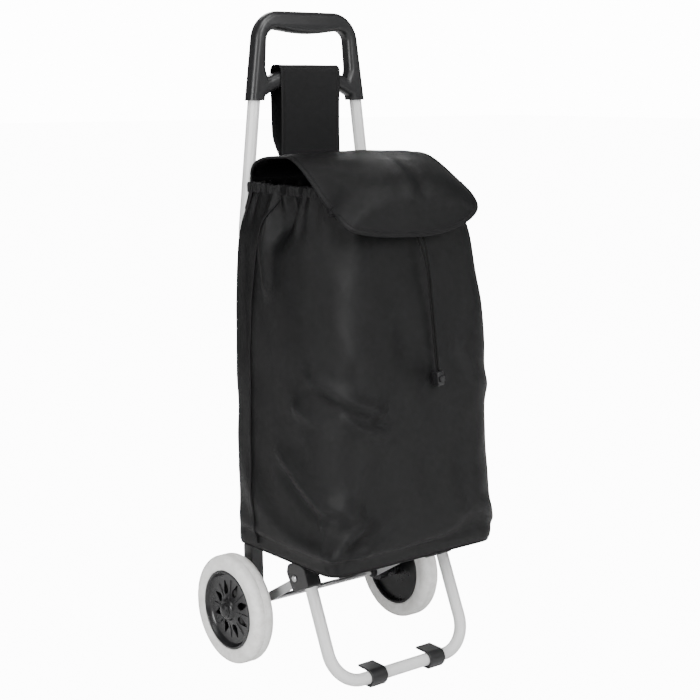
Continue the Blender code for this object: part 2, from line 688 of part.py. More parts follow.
def build_block(side, sign):
    """The plastic block on the leg's top end: it hides the tube and carries the pivot."""
    front = LEG_OFFSET + LEG_TUBE_RADIUS + BLOCK_WALL
    corners = [(-0.0125, -BLOCK_DROP), (front, -BLOCK_DROP), (front, 0.0095), (0.0120, 0.0205),
               (-0.0090, 0.0225), (-0.0175, 0.0120)]
    outline = round_corners(corners, [0.004, 0.004, 0.008, 0.008, 0.006, 0.008], steps=3)
    made = plate("leg_block_" + side, [outline], BLOCK_WIDTH, leg_axes(sign * LEG_X), PLASTIC,
                 edge=0.002)
    tube_axis = leg_axes(sign * LEG_X) @ Matrix.Translation((LEG_OFFSET, -BLOCK_DROP, 0))
    tube_axis = tube_axis @ Matrix.Rotation(-math.pi / 2, 4, "X")
    cut(made, pin("block_bore_" + side, tube_axis, LEG_TUBE_RADIUS + FIT, -0.01,
                  TUBE_IN_BLOCK + 0.001, steps=24))
    pivot = along(Vector((1, 0, 0)), at(0, PIVOT_FORWARD, PIVOT_Z))
    cut(made, pin("pivot_bore_" + side, pivot, RIVET_RADIUS + FIT, -0.3, 0.3, steps=20))
    smooth(made, 35)


def build_leg_rivet(side, sign):
    """The pivot: a rivet through the block and the strut, with a head on each side."""
    inner = STRUT_INNER_X - GAP
    outer = BLOCK_OUTER_X + FIT
    high = RIVET_HEAD_HEIGHT
    profile = [(0, outer + high), (RIVET_HEAD_RADIUS * 0.7, outer + high),
               (RIVET_HEAD_RADIUS, outer + high * 0.4), (RIVET_HEAD_RADIUS, outer),
               (RIVET_RADIUS, outer), (RIVET_RADIUS, inner), (RIVET_HEAD_RADIUS, inner),
               (RIVET_HEAD_RADIUS, inner - high * 0.5), (RIVET_HEAD_RADIUS * 0.6, inner - high),
               (0, inner - high)]
    outward = along(Vector((sign, 0, 0)), at(0, PIVOT_FORWARD, PIVOT_Z))
    smooth(turned("leg_rivet_" + side, profile, outward, STEEL, steps=16), 35)


def build_leg():
    """The U-shaped leg tube, and the two foot clips on its lower bar."""
    pivot = at(0, PIVOT_FORWARD, PIVOT_Z)
    down = Vector((0, -math.sin(LEG_LEAN), -math.cos(LEG_LEAN)))
    square = Vector((0, -math.cos(LEG_LEAN), math.sin(LEG_LEAN)))
    base = pivot + square * LEG_OFFSET
    length = (base.z - BAR_Z) / math.cos(LEG_LEAN)
    top = base + down * (BLOCK_DROP - TUBE_IN_BLOCK)
    bottom = base + down * length
    side = Vector((LEG_X, 0, 0))
    path = round_corners([top - side, bottom - side, bottom + side, top + side], LEG_CORNER_RADIUS,
                         steps=6, closed=False)
    hollow_tube("leg_tube", path, LEG_TUBE_RADIUS, TUBE_WALL, PAINT)
    inner = LEG_TUBE_RADIUS + GAP
    outer = inner + CLIP_WALL
    pad = 0.006
    outline = [(-CLIP_TAB, outer), (-CLIP_TAB, outer - 0.003)] + arc((0, 0), inner, 90, -130, 14)
    outline += arc((0, 0), outer, -130, -118, 1) + [(-pad, -outer), (pad, -outer)]
    outline += arc((0, 0), outer, -50, 80, 9)
    for name, sign in sides():
        middle = side_view(sign * CLIP_SPACING / 2, AXLE_Y - bottom.y, BAR_Z)
        smooth(plate("foot_clip_" + name, [outline], CLIP_LENGTH, middle, PLASTIC), 30)


# ---- bag ---------------------------------------------------------------------------------
def bag_back(z):
    """Forward place of the bag's back at a height: it lies along the side tubes."""
    return tube_forward(min(z, BAND_Z)) + TUBE_RADIUS + BAG_TO_TUBE


def bag_size(z):
    """Half width and front of the bag's outer face at a height."""
    draw = min(1.0, max(0.0, (z - (RIM_Z - SHOULDER_HEIGHT)) / (SHOULDER_HEIGHT - RIM_BAND)))
    return BAG_HALF_WIDTH - RIM_INSET * draw, BAG_FRONT - RIM_FRONT_INSET * draw


def bag_outline(z, inset):
    """Plan of the bag at a height, inset from its outer face: (x, y) points."""
    half, front = bag_size(z)
    front -= inset
    back = bag_back(z) + inset
    half -= inset
    corners = [(-half, AXLE_Y - front), (half, AXLE_Y - front), (half, AXLE_Y - back),
               (-half, AXLE_Y - back)]
    return round_corners(corners, BAG_CORNER - inset, steps=BAG_CORNER_STEPS)


def build_bag():
    """The open-topped bag: a tapered box with rounded corners and a thin wall."""
    mesh = bpy.data.meshes.new("bag_body")
    shape = bmesh.new()
    bmesh.ops.create_cube(shape, size=1.0)
    for vert in shape.verts:
        vert.co.z = BAG_BOTTOM_Z if vert.co.z < 0 else RIM_Z
    for level in (RIM_Z - SHOULDER_HEIGHT, BAND_Z):
        bmesh.ops.bisect_plane(shape, geom=shape.verts[:] + shape.edges[:] + shape.faces[:],
                               plane_co=(0, 0, level), plane_no=(0, 0, 1))
    for vert in shape.verts:
        half, front = bag_size(vert.co.z)
        forward = front if vert.co.y < 0 else bag_back(vert.co.z)
        vert.co = at(math.copysign(half, vert.co.x), forward, vert.co.z)
    top = [face for face in shape.faces if face.calc_center_median().z > RIM_Z - 0.001]
    bmesh.ops.delete(shape, geom=top, context="FACES_ONLY")
    upright = [edge for edge in shape.edges if abs(edge.verts[0].co.z - edge.verts[1].co.z) > 0.001]
    bmesh.ops.bevel(shape, geom=upright, offset=BAG_CORNER, segments=BAG_CORNER_STEPS, profile=0.5,
                    affect="EDGES")
    low = [edge for edge in shape.edges
           if all(abs(vert.co.z - BAG_BOTTOM_Z) < 0.0001 for vert in edge.verts)]
    bmesh.ops.bevel(shape, geom=low, offset=BAG_BOTTOM_EDGE, segments=2, profile=0.5,
                    affect="EDGES")
    shape.to_mesh(mesh)
    shape.free()
    bag = add("bag_body", mesh, NYLON)
    wall = bag.modifiers.new("wall", "SOLIDIFY")
    wall.thickness = BAG_WALL
    wall.offset = -1
    wall.use_even_offset = True
    smooth(bag, 40)
    inset = BAG_WALL + BAG_BOTTOM_EDGE + GAP
    board_z = BAG_BOTTOM_Z + BAG_WALL + GAP + BOARD_THICKNESS / 2
    plate("bag_base_board", [bag_outline(board_z, inset)], BOARD_THICKNESS,
          Matrix.Translation((0, 0, board_z)), BOARD)


def build_hem():
    """The folded hem over the rim, the drawstring's ring inside it and its two eyelets."""
    half_gap = HEM_CAVITY / 2
    roof = HEM_TOP_Z - HEM_WALL
    foot = HEM_TOP_Z - HEM_DEPTH
    section = bpy.data.curves.new("hem_section", "CURVE")
    section.dimensions = "2D"
    section.fill_mode = "NONE"
    spline(section, [(-HEM_OUT, foot), (-half_gap, foot), (-half_gap, roof), (half_gap, roof),
                     (half_gap, foot), (HEM_OUT, foot), (HEM_OUT, HEM_TOP_Z - 0.0005),
                     (HEM_OUT - 0.0006, HEM_TOP_Z), (-HEM_OUT + 0.0006, HEM_TOP_Z),
                     (-HEM_OUT, HEM_TOP_Z - 0.0005)], True)
    profile = add("hem_section", section, group=cutters)
    path = bag_outline(RIM_Z, BAG_WALL / 2)
    sweep = bpy.data.curves.new("bag_hem", "CURVE")
    sweep.dimensions = "2D"
    sweep.fill_mode = "NONE"
    sweep.bevel_mode = "OBJECT"
    sweep.bevel_object = profile
    spline(sweep, path, True)
    as_mesh(add("bag_hem", sweep, WEBBING))
    ring = [(x, y, HEM_CORD_Z) for x, y in path]
    smooth(as_mesh(rod("hem_cord", ring, CORD_RADIUS, CORD, sides=2, cyclic=True)))
    eyelet_z = HEM_TOP_Z - HEM_DEPTH / 2
    face = RIM_FRONT - BAG_WALL / 2 + HEM_OUT + GAP
    hole = CORD_RADIUS + FIT
    mid = (hole + EYELET_RADIUS) / 2
    profile = [(mid, EYELET_THICKNESS), (EYELET_RADIUS, EYELET_THICKNESS / 2), (EYELET_RADIUS, 0),
               (hole, 0), (hole, EYELET_THICKNESS / 2)]
    for side, sign in sides():
        place = along(Vector((0, -1, 0)), at(sign * EYELET_SPACING / 2, face, eyelet_z))
        smooth(turned("eyelet_" + side, profile, place, STEEL, steps=12), 40)
    return face, eyelet_z


def strand_route(sign, face, eyelet_z):
    """Chosen points of one free drawstring strand, from its eyelet down into the cord lock."""
    slope = math.tan(CORD_SLANT)
    end_z = LOCK_Z - LOCK_HEIGHT / 2 + 0.002
    offset = sign * STRAND_SPACING / 2

    def hanging(height, spread=1.0, forward=CORD_FORWARD):
        z = end_z + height
        return at(LOCK_X + (LOCK_Z - z) * slope + offset * spread, forward, z)

    x = sign * EYELET_SPACING / 2
    return [at(x, face + 2 * GAP, eyelet_z), at(x, face + 0.0045, eyelet_z - 0.0015),
            at(x * 0.93, face + 0.0075, eyelet_z - 0.010),
            hanging(CORD_STRAIGHT + 0.065, 4.0, face + 0.012),
            hanging(CORD_STRAIGHT + 0.030, 1.8, CORD_FORWARD - 0.004), hanging(CORD_STRAIGHT),
            hanging(CORD_STRAIGHT * 0.8), hanging(CORD_STRAIGHT * 0.4), hanging(0)]


def build_drawstring(face, eyelet_z):
    """The two free strands, the cord lock on them and its push button."""
    for side, sign in sides():
        route = smooth_route(strand_route(sign, face, eyelet_z), 0.0075)
        rod("drawstring_" + side, route, CORD_RADIUS, CORD, sides=2)
    tilt = Vector((math.sin(CORD_SLANT), 0, -math.cos(CORD_SLANT)))
    across = Vector((math.cos(CORD_SLANT), 0, math.sin(CORD_SLANT)))
    placement = axes(across, -tilt, at(LOCK_X, CORD_FORWARD, LOCK_Z))
    centre = placement @ Matrix.Translation((0, 0, (LOCK_FRONT - LOCK_BACK) / 2))
    body = block("cord_lock_body", (LOCK_WIDTH, LOCK_HEIGHT, LOCK_FRONT + LOCK_BACK), centre, PLASTIC,
                 edge=0.0022)
    hole = CORD_RADIUS + FIT
    channel = plate("cord_channel", [arc((STRAND_SPACING / 2, 0), hole, -90, 90, 8)
                                     + arc((-STRAND_SPACING / 2, 0), hole, 90, 270, 8)], 0.05,
                    placement @ Matrix.Rotation(math.pi / 2, 4, "X"), group=cutters)
    cut(body, channel)
    half_width = STRAND_SPACING / 2 + hole + 0.0010
    half_height = BUTTON_HEIGHT / 2
    back = -hole - BUTTON_BAR
    pocket_back = back - BUTTON_TRAVEL - GAP
    pocket_front = LOCK_FRONT + 0.01
    pocket = block("button_pocket", (2 * (half_width + GAP), 2 * (half_height + GAP),
                                     pocket_front - pocket_back),
                   placement @ Matrix.Translation((0, 0, (pocket_front + pocket_back) / 2)),
                   group=cutters)
    cut(body, pocket)
    front = LOCK_FRONT + BUTTON_REACH
    button = block("cord_lock_button", (2 * half_width, 2 * half_height, front - back),
                   placement @ Matrix.Translation((0, 0, (front + back) / 2)), PLASTIC, edge=0.0006)
    window_front = hole + BUTTON_TRAVEL
    window = block("button_window", (2 * (half_width - 0.0008), 0.03, window_front + hole),
                   placement @ Matrix.Translation((0, 0, (window_front - hole) / 2)), group=cutters)
    cut(button, window)


def build_strap():
    """The wide fabric loop over the handle's arched bar, sewn to the hem at the back."""
    bar_z = CROSSBAR_TOP_Z - CROSSBAR_HEIGHT / 2
    bar_forward = tube_forward(bar_z)
    inner = HANDLE_DEPTH / 2 + STRAP_SLACK
    turn = HANDLE_EDGE + STRAP_SLACK
    turn_z = CROSSBAR_TOP_Z - HANDLE_EDGE
    front = bar_forward + inner - turn
    rear = bar_forward - inner + turn
    hem_rear = bag_back(RIM_Z) + BAG_WALL / 2 - HEM_OUT
    tail_front = hem_rear - GAP
    tail_back = tail_front - 2 * STRAP_PLY
    tail_middle = (tail_front + tail_back) / 2
    join_z = HEM_TOP_Z + 0.022
    clear_z = CROSSBAR_TOP_Z - CROSSBAR_HEIGHT - CROSSBAR_RISE * 0.7
    foot_z = HEM_TOP_Z - STRAP_TAIL
    over = (arc((front, turn_z), turn + STRAP_PLY, 0, 90, 5)
            + arc((rear, turn_z), turn + STRAP_PLY, 90, 180, 5))
    under = arc((rear, turn_z), turn, 180, 90, 5) + arc((front, turn_z), turn, 90, 0, 5)
    outline = over + [(bar_forward - inner - STRAP_PLY, clear_z), (tail_back, join_z - 0.008),
                      (tail_back, foot_z), (tail_front, foot_z), (tail_front, join_z - 0.008),
                      (bar_forward + inner + STRAP_PLY, clear_z)]
    hole = under + [(bar_forward + inner, clear_z), (tail_middle, join_z),
                    (bar_forward - inner, clear_z)]
    plate("hanging_strap", [outline, hole], STRAP_WIDTH, side_view(0), WEBBING)


def build_tube_loops():
    """Fabric loops on the bag's back that hold it to the side tubes."""
    top = LOOP_Z + LOOP_HEIGHT / 2
    middle = tube_forward(LOOP_Z)
    inner = TUBE_RADIUS + 0.0009
    outer = inner + LOOP_PLY
    front = bag_back(top) - GAP
    outline = [(-outer, front)] + [(x, middle + y) for x, y in arc((0, 0), outer, 180, 360, 10)]
    outline += [(outer, front), (inner, front)]
    outline += [(x, middle + y) for x, y in arc((0, 0), inner, 360, 180, 10)] + [(-inner, front)]
    for side, sign in sides():
        placement = axes(Vector((1, 0, 0)), Vector((0, -1, 0)), at(sign * TUBE_X, 0, LOOP_Z))
        plate("tube_loop_" + side, [outline], LOOP_HEIGHT, placement, WEBBING)


def flap_profile():
    """The flap's middle line from its hinge at the rear to its front edge: (forward, z)."""
    hinge = (bag_back(RIM_Z) + BAG_WALL / 2, HEM_TOP_Z + FLAP_THICKNESS / 2 + FIT)
    front = BAG_FRONT + FLAP_CLEAR - FLAP_THICKNESS / 2
    crown = RIM_Z + FLAP_CROWN
    points = [hinge, (hinge[0] + 0.030, crown - 0.010), (hinge[0] + 0.085, crown),
              (front - 0.075, crown - 0.004), (front - 0.024, crown - 0.021),
              (front - 0.004, crown - 0.048), (front, crown - 0.068), (front, RIM_Z - FLAP_HANG)]
    return smooth_route([Vector((f, z, 0)) for f, z in points], 0.016)


def build_flap():
    """The flap: a sheet bent over the mouth, hinged along the hem at the rear."""
    profile = flap_profile()
    rows = len(profile) - 1
    columns = 6
    mesh = bpy.data.meshes.new("flap")
    shape = bmesh.new()
    bmesh.ops.create_grid(shape, x_segments=columns, y_segments=rows, size=0.5)
    for vert in shape.verts:
        across = 2 * vert.co.x
        row = round((vert.co.y + 0.5) * rows)
        share = row / rows
        forward, z, _ = profile[row]
        half = (FLAP_REAR_WIDTH + (FLAP_FRONT_WIDTH - FLAP_REAR_WIDTH) * share) / 2
        droop = FLAP_SIDE_DROOP * abs(across) ** 3 * math.sin(math.pi * min(1.0, share * 1.2))
        vert.co = at(across * half, forward, z - max(0.0, droop))
    shape.to_mesh(mesh)
    shape.free()
    flap = add("flap", mesh, NYLON)
    sheet = flap.modifiers.new("sheet", "SOLIDIFY")
    sheet.thickness = FLAP_THICKNESS
    sheet.offset = 0
    smooth(flap, 40)


def build_trolley():
    """Every piece of the trolley."""
    tubes = build_frame()
    build_handle(tubes)
    build_axle()
    for side, sign in sides():
        build_wheel(side, sign)
        build_bracket(side, sign, tubes[side])
        build_strut(side, sign)
        build_block(side, sign)
        build_leg_rivet(side, sign)
    build_leg()
    build_bag()
    build_drawstring(*build_hem())
    build_strap()
    build_tube_loops()
    build_flap()


build_trolley()
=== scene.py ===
import math

import bmesh
import bpy
import numpy as np
from mathutils import Matrix, Vector, noise


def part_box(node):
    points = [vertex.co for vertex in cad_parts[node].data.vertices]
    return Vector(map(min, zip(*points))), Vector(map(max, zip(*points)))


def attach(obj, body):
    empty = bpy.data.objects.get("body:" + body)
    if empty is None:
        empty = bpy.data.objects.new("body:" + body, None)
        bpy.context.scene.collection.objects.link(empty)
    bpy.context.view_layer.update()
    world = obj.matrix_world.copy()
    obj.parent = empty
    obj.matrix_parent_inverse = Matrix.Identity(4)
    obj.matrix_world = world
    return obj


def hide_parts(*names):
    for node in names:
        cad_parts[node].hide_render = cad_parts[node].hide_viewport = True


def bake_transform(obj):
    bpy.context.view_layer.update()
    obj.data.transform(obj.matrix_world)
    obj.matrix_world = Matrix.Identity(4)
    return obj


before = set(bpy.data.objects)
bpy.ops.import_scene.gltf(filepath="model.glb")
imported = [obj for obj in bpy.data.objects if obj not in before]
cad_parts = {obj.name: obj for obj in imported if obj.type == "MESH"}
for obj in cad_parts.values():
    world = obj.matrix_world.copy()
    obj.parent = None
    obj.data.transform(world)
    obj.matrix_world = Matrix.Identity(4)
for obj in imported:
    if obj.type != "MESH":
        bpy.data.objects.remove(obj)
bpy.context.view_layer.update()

# ---- sizes read from the frame -------------------------------------------------------
AXLE_LOW, AXLE_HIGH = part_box("axle")
AXLE_Y = (AXLE_LOW.y + AXLE_HIGH.y) / 2
AXLE_Z = (AXLE_LOW.z + AXLE_HIGH.z) / 2
BAG_LOW, BAG_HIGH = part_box("bag_body")
HEM_LOW, HEM_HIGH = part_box("bag_hem")
FLAP_LOW, FLAP_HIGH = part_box("flap")
HANDLE_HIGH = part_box("handle")[1]
STRAP_LOW, STRAP_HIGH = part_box("hanging_strap")
TYRE_LOW, TYRE_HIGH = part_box("tyre_right")
HUB_LOW, HUB_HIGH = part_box("hub_right")
LEG_LOW, LEG_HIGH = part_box("leg_tube")

# ---- sizes that repeat the CAD source ------------------------------------------------
TUBE_RADIUS = 0.009
FRAME_LEAN = math.radians(1.47)
TUBE_FOOT_FORWARD = -0.012
TUBE_FOOT_Z = 0.104
BAND_DROP = 0.022           # from the rim to where the bag's back leaves the tubes
BAG_TO_TUBE = 0.0111        # tube centre to the bag's back
RIM_Z = BAG_HIGH.z
CORD_RADIUS = 0.00125
CORD_SLANT = math.radians(7.54)
CORD_STRAIGHT = 0.152
CORD_FORWARD = 0.2332
EYELET_FACE = 0.2071
EYELET_Z = 0.6913
EYELET_SPACING = 0.024
STRAND_SPACING = 0.0034
STRAND_END_Z = 0.427
LOCK_X = 0.027
LOCK_Z = 0.435


def at(x, forward, z):
    """A point from its sideways place, its distance in front of the axle and its height."""
    return Vector((x, AXLE_Y - forward, z))


def tube_forward(z):
    """Forward place of the side tubes' centre at a height."""
    return TUBE_FOOT_FORWARD - (z - TUBE_FOOT_Z) * math.tan(FRAME_LEAN)


def ease(low, high, value):
    """0 below low, 1 above high, and smooth between them."""
    t = min(1.0, max(0.0, (value - low) / (high - low)))
    return t * t * (3 - 2 * t)


def between(a, b, c, d, t):
    """A share t of the way from b to c on the smooth curve through a, b, c and d."""
    linear = (c - a) * t
    square = (2 * a - 5 * b + 4 * c - d) * t * t
    cube = (3 * b - a - 3 * c + d) * t ** 3
    return b + (linear + square + cube) / 2


def heading(path, i):
    """The direction of a path at one of its points."""
    before, after = path[max(0, i - 1)], path[min(len(path) - 1, i + 1)]
    return (after - before).normalized()


def smooth_route(points, spacing):
    """Points at about one spacing along a smooth curve through a route's own points."""
    route = [Vector(p) for p in points]
    padded = [2 * route[0] - route[1]] + route + [2 * route[-1] - route[-2]]
    found = [route[0]]
    for a, b, c, d in zip(padded, padded[1:], padded[2:], padded[3:]):
        steps = max(1, round((c - b).length / spacing))
        found += [between(a, b, c, d, k / steps) for k in range(1, steps + 1)]
    return found


# ---- camera ---------------------------------------------------------------------------
view = bpy.data.objects.new("camera", bpy.data.cameras.new("camera"))
bpy.context.scene.collection.objects.link(view)
view.data.lens = 76.3
view.location = (-1.3137, -1.6410, 0.829)
view.rotation_euler = (math.radians(79.92), 0, math.radians(-38.6))
bpy.context.scene.camera = view


# ---- materials --------------------------------------------------------------------------
def put(tree, kind, settings=(), **inputs):
    """Add a shader node. An input takes a value or another node's output."""
    node = tree.nodes.new("ShaderNode" + kind)
    for key, value in dict(settings).items():
        setattr(node, key, value)
    for key, value in inputs.items():
        socket = node.inputs[int(key[1:])] if key[1:].isdigit() else node.inputs[key.replace("_", " ")]
        if isinstance(value, bpy.types.NodeSocket):
            tree.links.new(value, socket)
        else:
            socket.default_value = value
    return node


def ramp(tree, value, low, high):
    """Map a 0 to 1 value onto two numbers or two colours."""
    if isinstance(low, tuple):
        mixed = put(tree, "Mix", {"data_type": "RGBA"}, Factor=value)
        mixed.inputs[6].default_value = (*low, 1)
        mixed.inputs[7].default_value = (*high, 1)
        return mixed.outputs[2]
    return put(tree, "MapRange", _0=value, _1=0.0, _2=1.0, _3=low, _4=high).outputs[0]


def contrast(tree, value, low, high):
    """Stretch the part of a value between low and high to 0 to 1."""
    return put(tree, "MapRange", _0=value, _1=low, _2=high, _3=0.0, _4=1.0).outputs[0]


def grain(tree, place, scale, detail=2.0, rough=0.5):
    """Noise at a scale, as a value around a half."""
    return put(tree, "TexNoise", Vector=place, Scale=scale, Detail=detail,
               Roughness=rough).outputs["Fac"]


def maths(tree, kind, first, second=0.0):
    """One arithmetic step."""
    return put(tree, "Math", {"operation": kind}, _0=first, _1=second).outputs[0]


def bumped(tree, layers):
    """Stacked bumps: (height, depth in metres, strength) from coarse to fine."""
    normal = None
    for height, depth, strength in layers:
        node = put(tree, "Bump", Height=height, Distance=depth, Strength=strength)
        if normal is not None:
            tree.links.new(normal, node.inputs["Normal"])
        normal = node.outputs[0]
    return normal


def surface(name):
    """A new material: its tree, its shader and the object's own coordinates."""
    made = bpy.data.materials.new(name)
    made.use_nodes = True
    tree = made.node_tree
    return made, tree, tree.nodes["Principled BSDF"], put(tree, "TexCoord").outputs["Object"]


def finish_surface(tree, shader, colour, roughness, layers, **values):
    """Connect colour, roughness and bumps, and set the plain values."""
    tree.links.new(colour, shader.inputs["Base Color"])
    tree.links.new(roughness, shader.inputs["Roughness"])
    tree.links.new(bumped(tree, layers), shader.inputs["Normal"])
    for key, value in values.items():
        shader.inputs[key.replace("_", " ")].default_value = value


def paint_surface(name, dark, light):
    """Powder coat: fine orange peel, faint clouding and a few rubbed spots."""
    made, tree, shader, place = surface(name)
    peel = grain(tree, place, 620, 3)
    cloud = grain(tree, place, 14, 4)
    rubbed = contrast(tree, grain(tree, place, 120, 5, 0.7), 0.60, 0.72)
    colour = ramp(tree, cloud, dark, light)
    worn = put(tree, "Mix", {"data_type": "RGBA"}, Factor=maths(tree, "MULTIPLY", rubbed, 0.25))
    tree.links.new(colour, worn.inputs[6])
    worn.inputs[7].default_value = (0.42, 0.42, 0.41, 1)
    finish_surface(tree, shader, worn.outputs[2], ramp(tree, cloud, 0.30, 0.44),
                   [(peel, 0.00025, 0.25)], Coat_Weight=0.2, Coat_Roughness=0.25)
    return made


def plastic_surface(name, dark, light, low, high, grit=0.35):
    """Moulded plastic: fine spark-eroded grain, clouded gloss and hairline scuffs."""
    made, tree, shader, place = surface(name)
    fine = grain(tree, place, 1500, 3)
    cloud = grain(tree, place, 22, 4)
    stretched = put(tree, "Mapping", Vector=place, Scale=(60.0, 60.0, 900.0)).outputs[0]
    scuffs = contrast(tree, grain(tree, stretched, 1.0, 4, 0.6), 0.62, 0.75)
    colour = ramp(tree, maths(tree, "ADD", maths(tree, "MULTIPLY", scuffs, 0.5),
                              maths(tree, "MULTIPLY", cloud, 0.5)), dark, light)
    finish_surface(tree, shader, colour, ramp(tree, cloud, low, high),
                   [(scuffs, 0.00005, 0.2), (fine, 0.00012, grit)])
    return made


def foam_surface(name):
    """Moulded EVA foam: off-white, softly mottled, with closed cells and dust marks."""
    made, tree, shader, place = surface(name)
    mottle = grain(tree, place, 55, 6, 0.65)
    cells = put(tree, "TexVoronoi", {"feature": "F1"}, Vector=place, Scale=620.0).outputs[0]
    marks = contrast(tree, grain(tree, place, 150, 5, 0.75), 0.52, 0.70)
    mixed = maths(tree, "SUBTRACT", contrast(tree, mottle, 0.30, 0.70),
                  maths(tree, "MULTIPLY", marks, 0.45))
    colour = ramp(tree, mixed, (0.72, 0.71, 0.685), (0.94, 0.935, 0.92))
    finish_surface(tree, shader, colour, ramp(tree, mottle, 0.62, 0.85),
                   [(mottle, 0.0030, 0.55), (cells, 0.0006, 0.45)], Specular_IOR_Level=0.35)
    return made


def metal_surface(name, dark, light, low, high):
    """Plated metal: drawn streaks, faint staining and soft variation of gloss."""
    made, tree, shader, place = surface(name)
    streaks = put(tree, "Mapping", Vector=place, Scale=(40.0, 1400.0, 1400.0)).outputs[0]
    drawn = grain(tree, streaks, 1.0, 3)
    stain = grain(tree, place, 70, 5, 0.65)
    finish_surface(tree, shader, ramp(tree, stain, dark, light), ramp(tree, stain, low, high),
                   [(drawn, 0.00004, 0.25)], Metallic=1.0)
    return made


def along_cloth(tree, place, normal):
    """Two thread directions on any face: round the object, and up or back over it."""
    split = put(tree, "SeparateXYZ", Vector=place)
    facing = put(tree, "SeparateXYZ", Vector=normal)
    level = maths(tree, "GREATER_THAN", maths(tree, "ABSOLUTE", facing.outputs[2]), 0.75)
    sideways = maths(tree, "GREATER_THAN", maths(tree, "ABSOLUTE", facing.outputs[0]), 0.7)
    around = put(tree, "Mix", {"data_type": "FLOAT"}, Factor=sideways)
    tree.links.new(split.outputs[0], around.inputs[2])
    tree.links.new(split.outputs[1], around.inputs[3])
    over = put(tree, "Mix", {"data_type": "FLOAT"}, Factor=level)
    tree.links.new(split.outputs[2], over.inputs[2])
    tree.links.new(split.outputs[1], over.inputs[3])
    return around.outputs[0], over.outputs[0]


def woven_surface(name, dark, light, low, high, thread, depth, gloss, creases=0.5, ribs=False):
    """Plain-woven cloth: warp and weft, slubs, small creases and uneven coating."""
    made, tree, shader, place = surface(name)
    flat = put(tree, "NewGeometry").outputs["True Normal"]
    around, over = along_cloth(tree, place, flat)
    turns = 2 * math.pi / thread
    warp = maths(tree, "SINE", maths(tree, "MULTIPLY", around, turns))
    weft = maths(tree, "SINE", maths(tree, "MULTIPLY", over, turns * (0.5 if ribs else 1.0)))
    weave = maths(tree, "ADD", maths(tree, "MULTIPLY", maths(tree, "MULTIPLY", warp, weft), 0.5), 0.5)
    cloud = grain(tree, place, 9, 5, 0.6)
    slubs = grain(tree, place, 210, 3, 0.6)
    crumple = grain(tree, place, 34, 4, 0.55)
    shade = maths(tree, "ADD", maths(tree, "MULTIPLY", cloud, 0.6),
                  maths(tree, "ADD", maths(tree, "MULTIPLY", weave, 0.22),
                        maths(tree, "MULTIPLY", slubs, 0.18)))
    finish_surface(tree, shader, ramp(tree, contrast(tree, shade, 0.25, 0.75), dark, light),
                   ramp(tree, contrast(tree, cloud, 0.3, 0.7), low, high),
                   [(crumple, 0.004, creases * 0.35), (slubs, 0.0006, 0.25), (weave, depth, 0.6)],
                   Specular_IOR_Level=gloss)
    return made


def braid_surface(name):
    """Braided cord: two crossing sets of strands round it."""
    made, tree, shader, place = surface(name)
    split = put(tree, "SeparateXYZ", Vector=place)
    lean = maths(tree, "MULTIPLY", maths(tree, "ADD", split.outputs[0], split.outputs[1]), 2600.0)
    rise = maths(tree, "MULTIPLY", split.outputs[2], 3900.0)
    one = maths(tree, "SINE", maths(tree, "ADD", rise, lean))
    two = maths(tree, "SINE", maths(tree, "SUBTRACT", rise, lean))
    braid = maths(tree, "ADD", maths(tree, "MULTIPLY", maths(tree, "MAXIMUM", one, two), 0.5), 0.5)
    fuzz = grain(tree, place, 900, 3)
    finish_surface(tree, shader, ramp(tree, braid, (0.0015, 0.0015, 0.0015), (0.008, 0.008, 0.008)),
                   ramp(tree, fuzz, 0.7, 0.95), [(braid, 0.0004, 0.8), (fuzz, 0.0002, 0.4)],
                   Specular_IOR_Level=0.15)
    return made


def board_surface(name):
    """Pressed fibre board: long fibres and flecks."""
    made, tree, shader, place = surface(name)
    fibres = put(tree, "Mapping", Vector=place, Scale=(90.0, 700.0, 700.0)).outputs[0]
    strands = grain(tree, fibres, 1.0, 4, 0.6)
    flecks = contrast(tree, grain(tree, place, 260, 4, 0.7), 0.50, 0.66)
    mixed = maths(tree, "ADD", maths(tree, "MULTIPLY", strands, 0.6),
                  maths(tree, "MULTIPLY", flecks, 0.4))
    finish_surface(tree, shader, ramp(tree, mixed, (0.09, 0.088, 0.082), (0.22, 0.215, 0.20)),
                   ramp(tree, strands, 0.8, 0.95), [(mixed, 0.0006, 0.5)])
    return made


PAINT = paint_surface("paint", (0.62, 0.62, 0.615), (0.72, 0.72, 0.715))
PLASTIC = plastic_surface("plastic", (0.006, 0.006, 0.0065), (0.016, 0.016, 0.017), 0.30, 0.44)
GLOSS = plastic_surface("hub_plastic", (0.006, 0.006, 0.0065), (0.014, 0.014, 0.015), 0.22, 0.34, 0.2)
FOAM = foam_surface("foam")
CHROME = metal_surface("chrome", (0.62, 0.62, 0.63), (0.82, 0.82, 0.83), 0.08, 0.20)
STEEL = metal_surface("steel", (0.36, 0.36, 0.37), (0.60, 0.60, 0.61), 0.26, 0.44)
NYLON = woven_surface("nylon", (0.0022, 0.0022, 0.0024), (0.0062, 0.0062, 0.0066), 0.34, 0.46, 0.0011,
                      0.00036, 0.20)
WEBBING = woven_surface("webbing", (0.0026, 0.0026, 0.0028), (0.0075, 0.0075, 0.0080), 0.55, 0.72,
                        0.0014, 0.00035, 0.20, creases=0.15, ribs=True)
BINDING = woven_surface("binding", (0.0022, 0.0022, 0.0024), (0.0070, 0.0070, 0.0075), 0.50, 0.64,
                        0.0008, 0.0002, 0.20, creases=0.1, ribs=True)
ZINC = paint_surface("zinc_plate", (0.46, 0.46, 0.465), (0.58, 0.58, 0.585))
THREAD = braid_surface("thread")
CORD = braid_surface("cord")
BOARD = board_surface("board")


